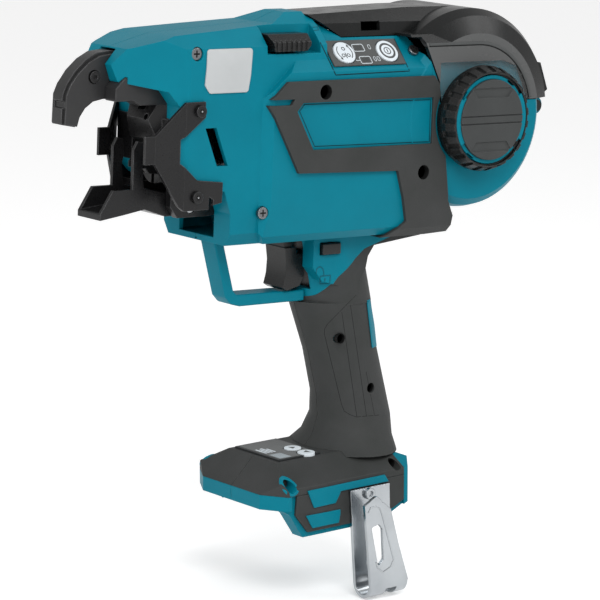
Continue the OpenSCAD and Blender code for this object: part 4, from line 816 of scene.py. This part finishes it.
# dark tongue in the split line between the halves, so that no light shows through it; its dark colour is
# painted shade of the gap
SPLIT_OFFSET, TONGUE_DEPTH, TONGUE_LINE, TONGUE_SINK = 0.6, 0.6, 1.4, 0.5
SHELL = ["housing_left", "housing_right"]
FOOT = ["foot_cover_right", "foot_skins", "foot_plates", "foot_base"]
SPLIT_RAYS = (
    ([mm(x, SPLIT_OFFSET, 300) for x in range(-124, 46, 2)], DOWN, SHELL),
    ([mm(x, SPLIT_OFFSET, 100) for x in range(-110, -20, 2)], -DOWN, SHELL),
    ([mm(x, SPLIT_OFFSET, 48) for x in range(38, 74, 2)], DOWN, FOOT),
    ([mm(200, SPLIT_OFFSET, z) for z in range(1, 30)], AHEAD, FOOT),
    ([mm(-200, SPLIT_OFFSET, z) for z in range(1, 30)], -AHEAD, FOOT))


def split_runs(starts, d, nodes):
    # follows the split line a little below the surface, seen along d
    marks = []
    for start in starts:
        h = hit(start, d, nodes)
        marks.append(h and (Vector((h[0].x, 0, h[0].z)) + d * TONGUE_DEPTH / 1000, -d))
    return unbroken(marks, SPLIT_JUMP)


tongue = [run for rays in SPLIT_RAYS for run in split_runs(*rays)]
ribbon("split_tongue", tongue, TONGUE_LINE, "seam", "frame", "teal", lift=0.0, sink=TONGUE_SINK)

# stage, in metres and watts
FLOOR_HALF, FLOOR_DROP = 40, 0.0005
FLOOR_TONE, FLOOR_ROUGH, FLOOR_LIFT = (0.92, 0.92, 0.92, 1), 0.9, 0.33
WHITE, WORLD_STRENGTH = (1, 1, 1, 1), 0.6
LAMPS = (("key", (-0.6, -1.2, 1.3), (0, 0, 0.13), 0.8, 14),
         ("rim", (0.9, -0.6, 1.0), (0.03, 0, 0.15), 0.6, 4),
         ("front", (-1.4, -0.4, 0.5), (-0.05, 0, 0.15), 0.7, 4))


def add_floor():
    mesh = bpy.data.meshes.new("floor")
    z = cad_box[0][2] - FLOOR_DROP
    corners = box_outline(-FLOOR_HALF, FLOOR_HALF, -FLOOR_HALF, FLOOR_HALF)
    mesh.from_pydata([(x, y, z) for x, y in corners], [], [(0, 1, 2, 3)])
    floor = bpy.data.objects.new("floor", mesh)
    scene.collection.objects.link(floor)
    m, t, p = new_material("floor")
    p.inputs["Base Color"].default_value = FLOOR_TONE
    p.inputs["Emission Color"].default_value = WHITE
    p.inputs["Roughness"].default_value = FLOOR_ROUGH
    # the floor is lifted towards white only where it is seen, so it adds no light
    path = t.nodes.new("ShaderNodeLightPath").outputs
    seen = calc(t, "MAXIMUM", path["Is Camera Ray"], path["Is Glossy Ray"])
    seen = calc(t, "MAXIMUM", seen, path["Is Transmission Ray"])
    t.links.new(calc(t, "MULTIPLY", seen, FLOOR_LIFT), p.inputs["Emission Strength"])
    mesh.materials.append(m)


def add_world():
    world = bpy.data.worlds.new("studio")
    world.use_nodes = True
    sky = world.node_tree.nodes["Background"].inputs
    sky["Color"].default_value = WHITE
    sky["Strength"].default_value = WORLD_STRENGTH
    scene.world = world


def add_lamp(name, pos, target, size, power):
    data = bpy.data.lights.new(name, "AREA")
    data.shape = "SQUARE"
    data.size = size
    data.energy = power
    lamp = bpy.data.objects.new(name, data)
    lamp.location = pos
    lamp.rotation_euler = (Vector(target) - Vector(pos)).to_track_quat("-Z", "Y").to_euler()
    scene.collection.objects.link(lamp)


add_floor()
add_world()
for lamp in LAMPS:
    add_lamp(*lamp)
scene.view_settings.view_transform = "Standard"
scene.view_settings.look = "None"
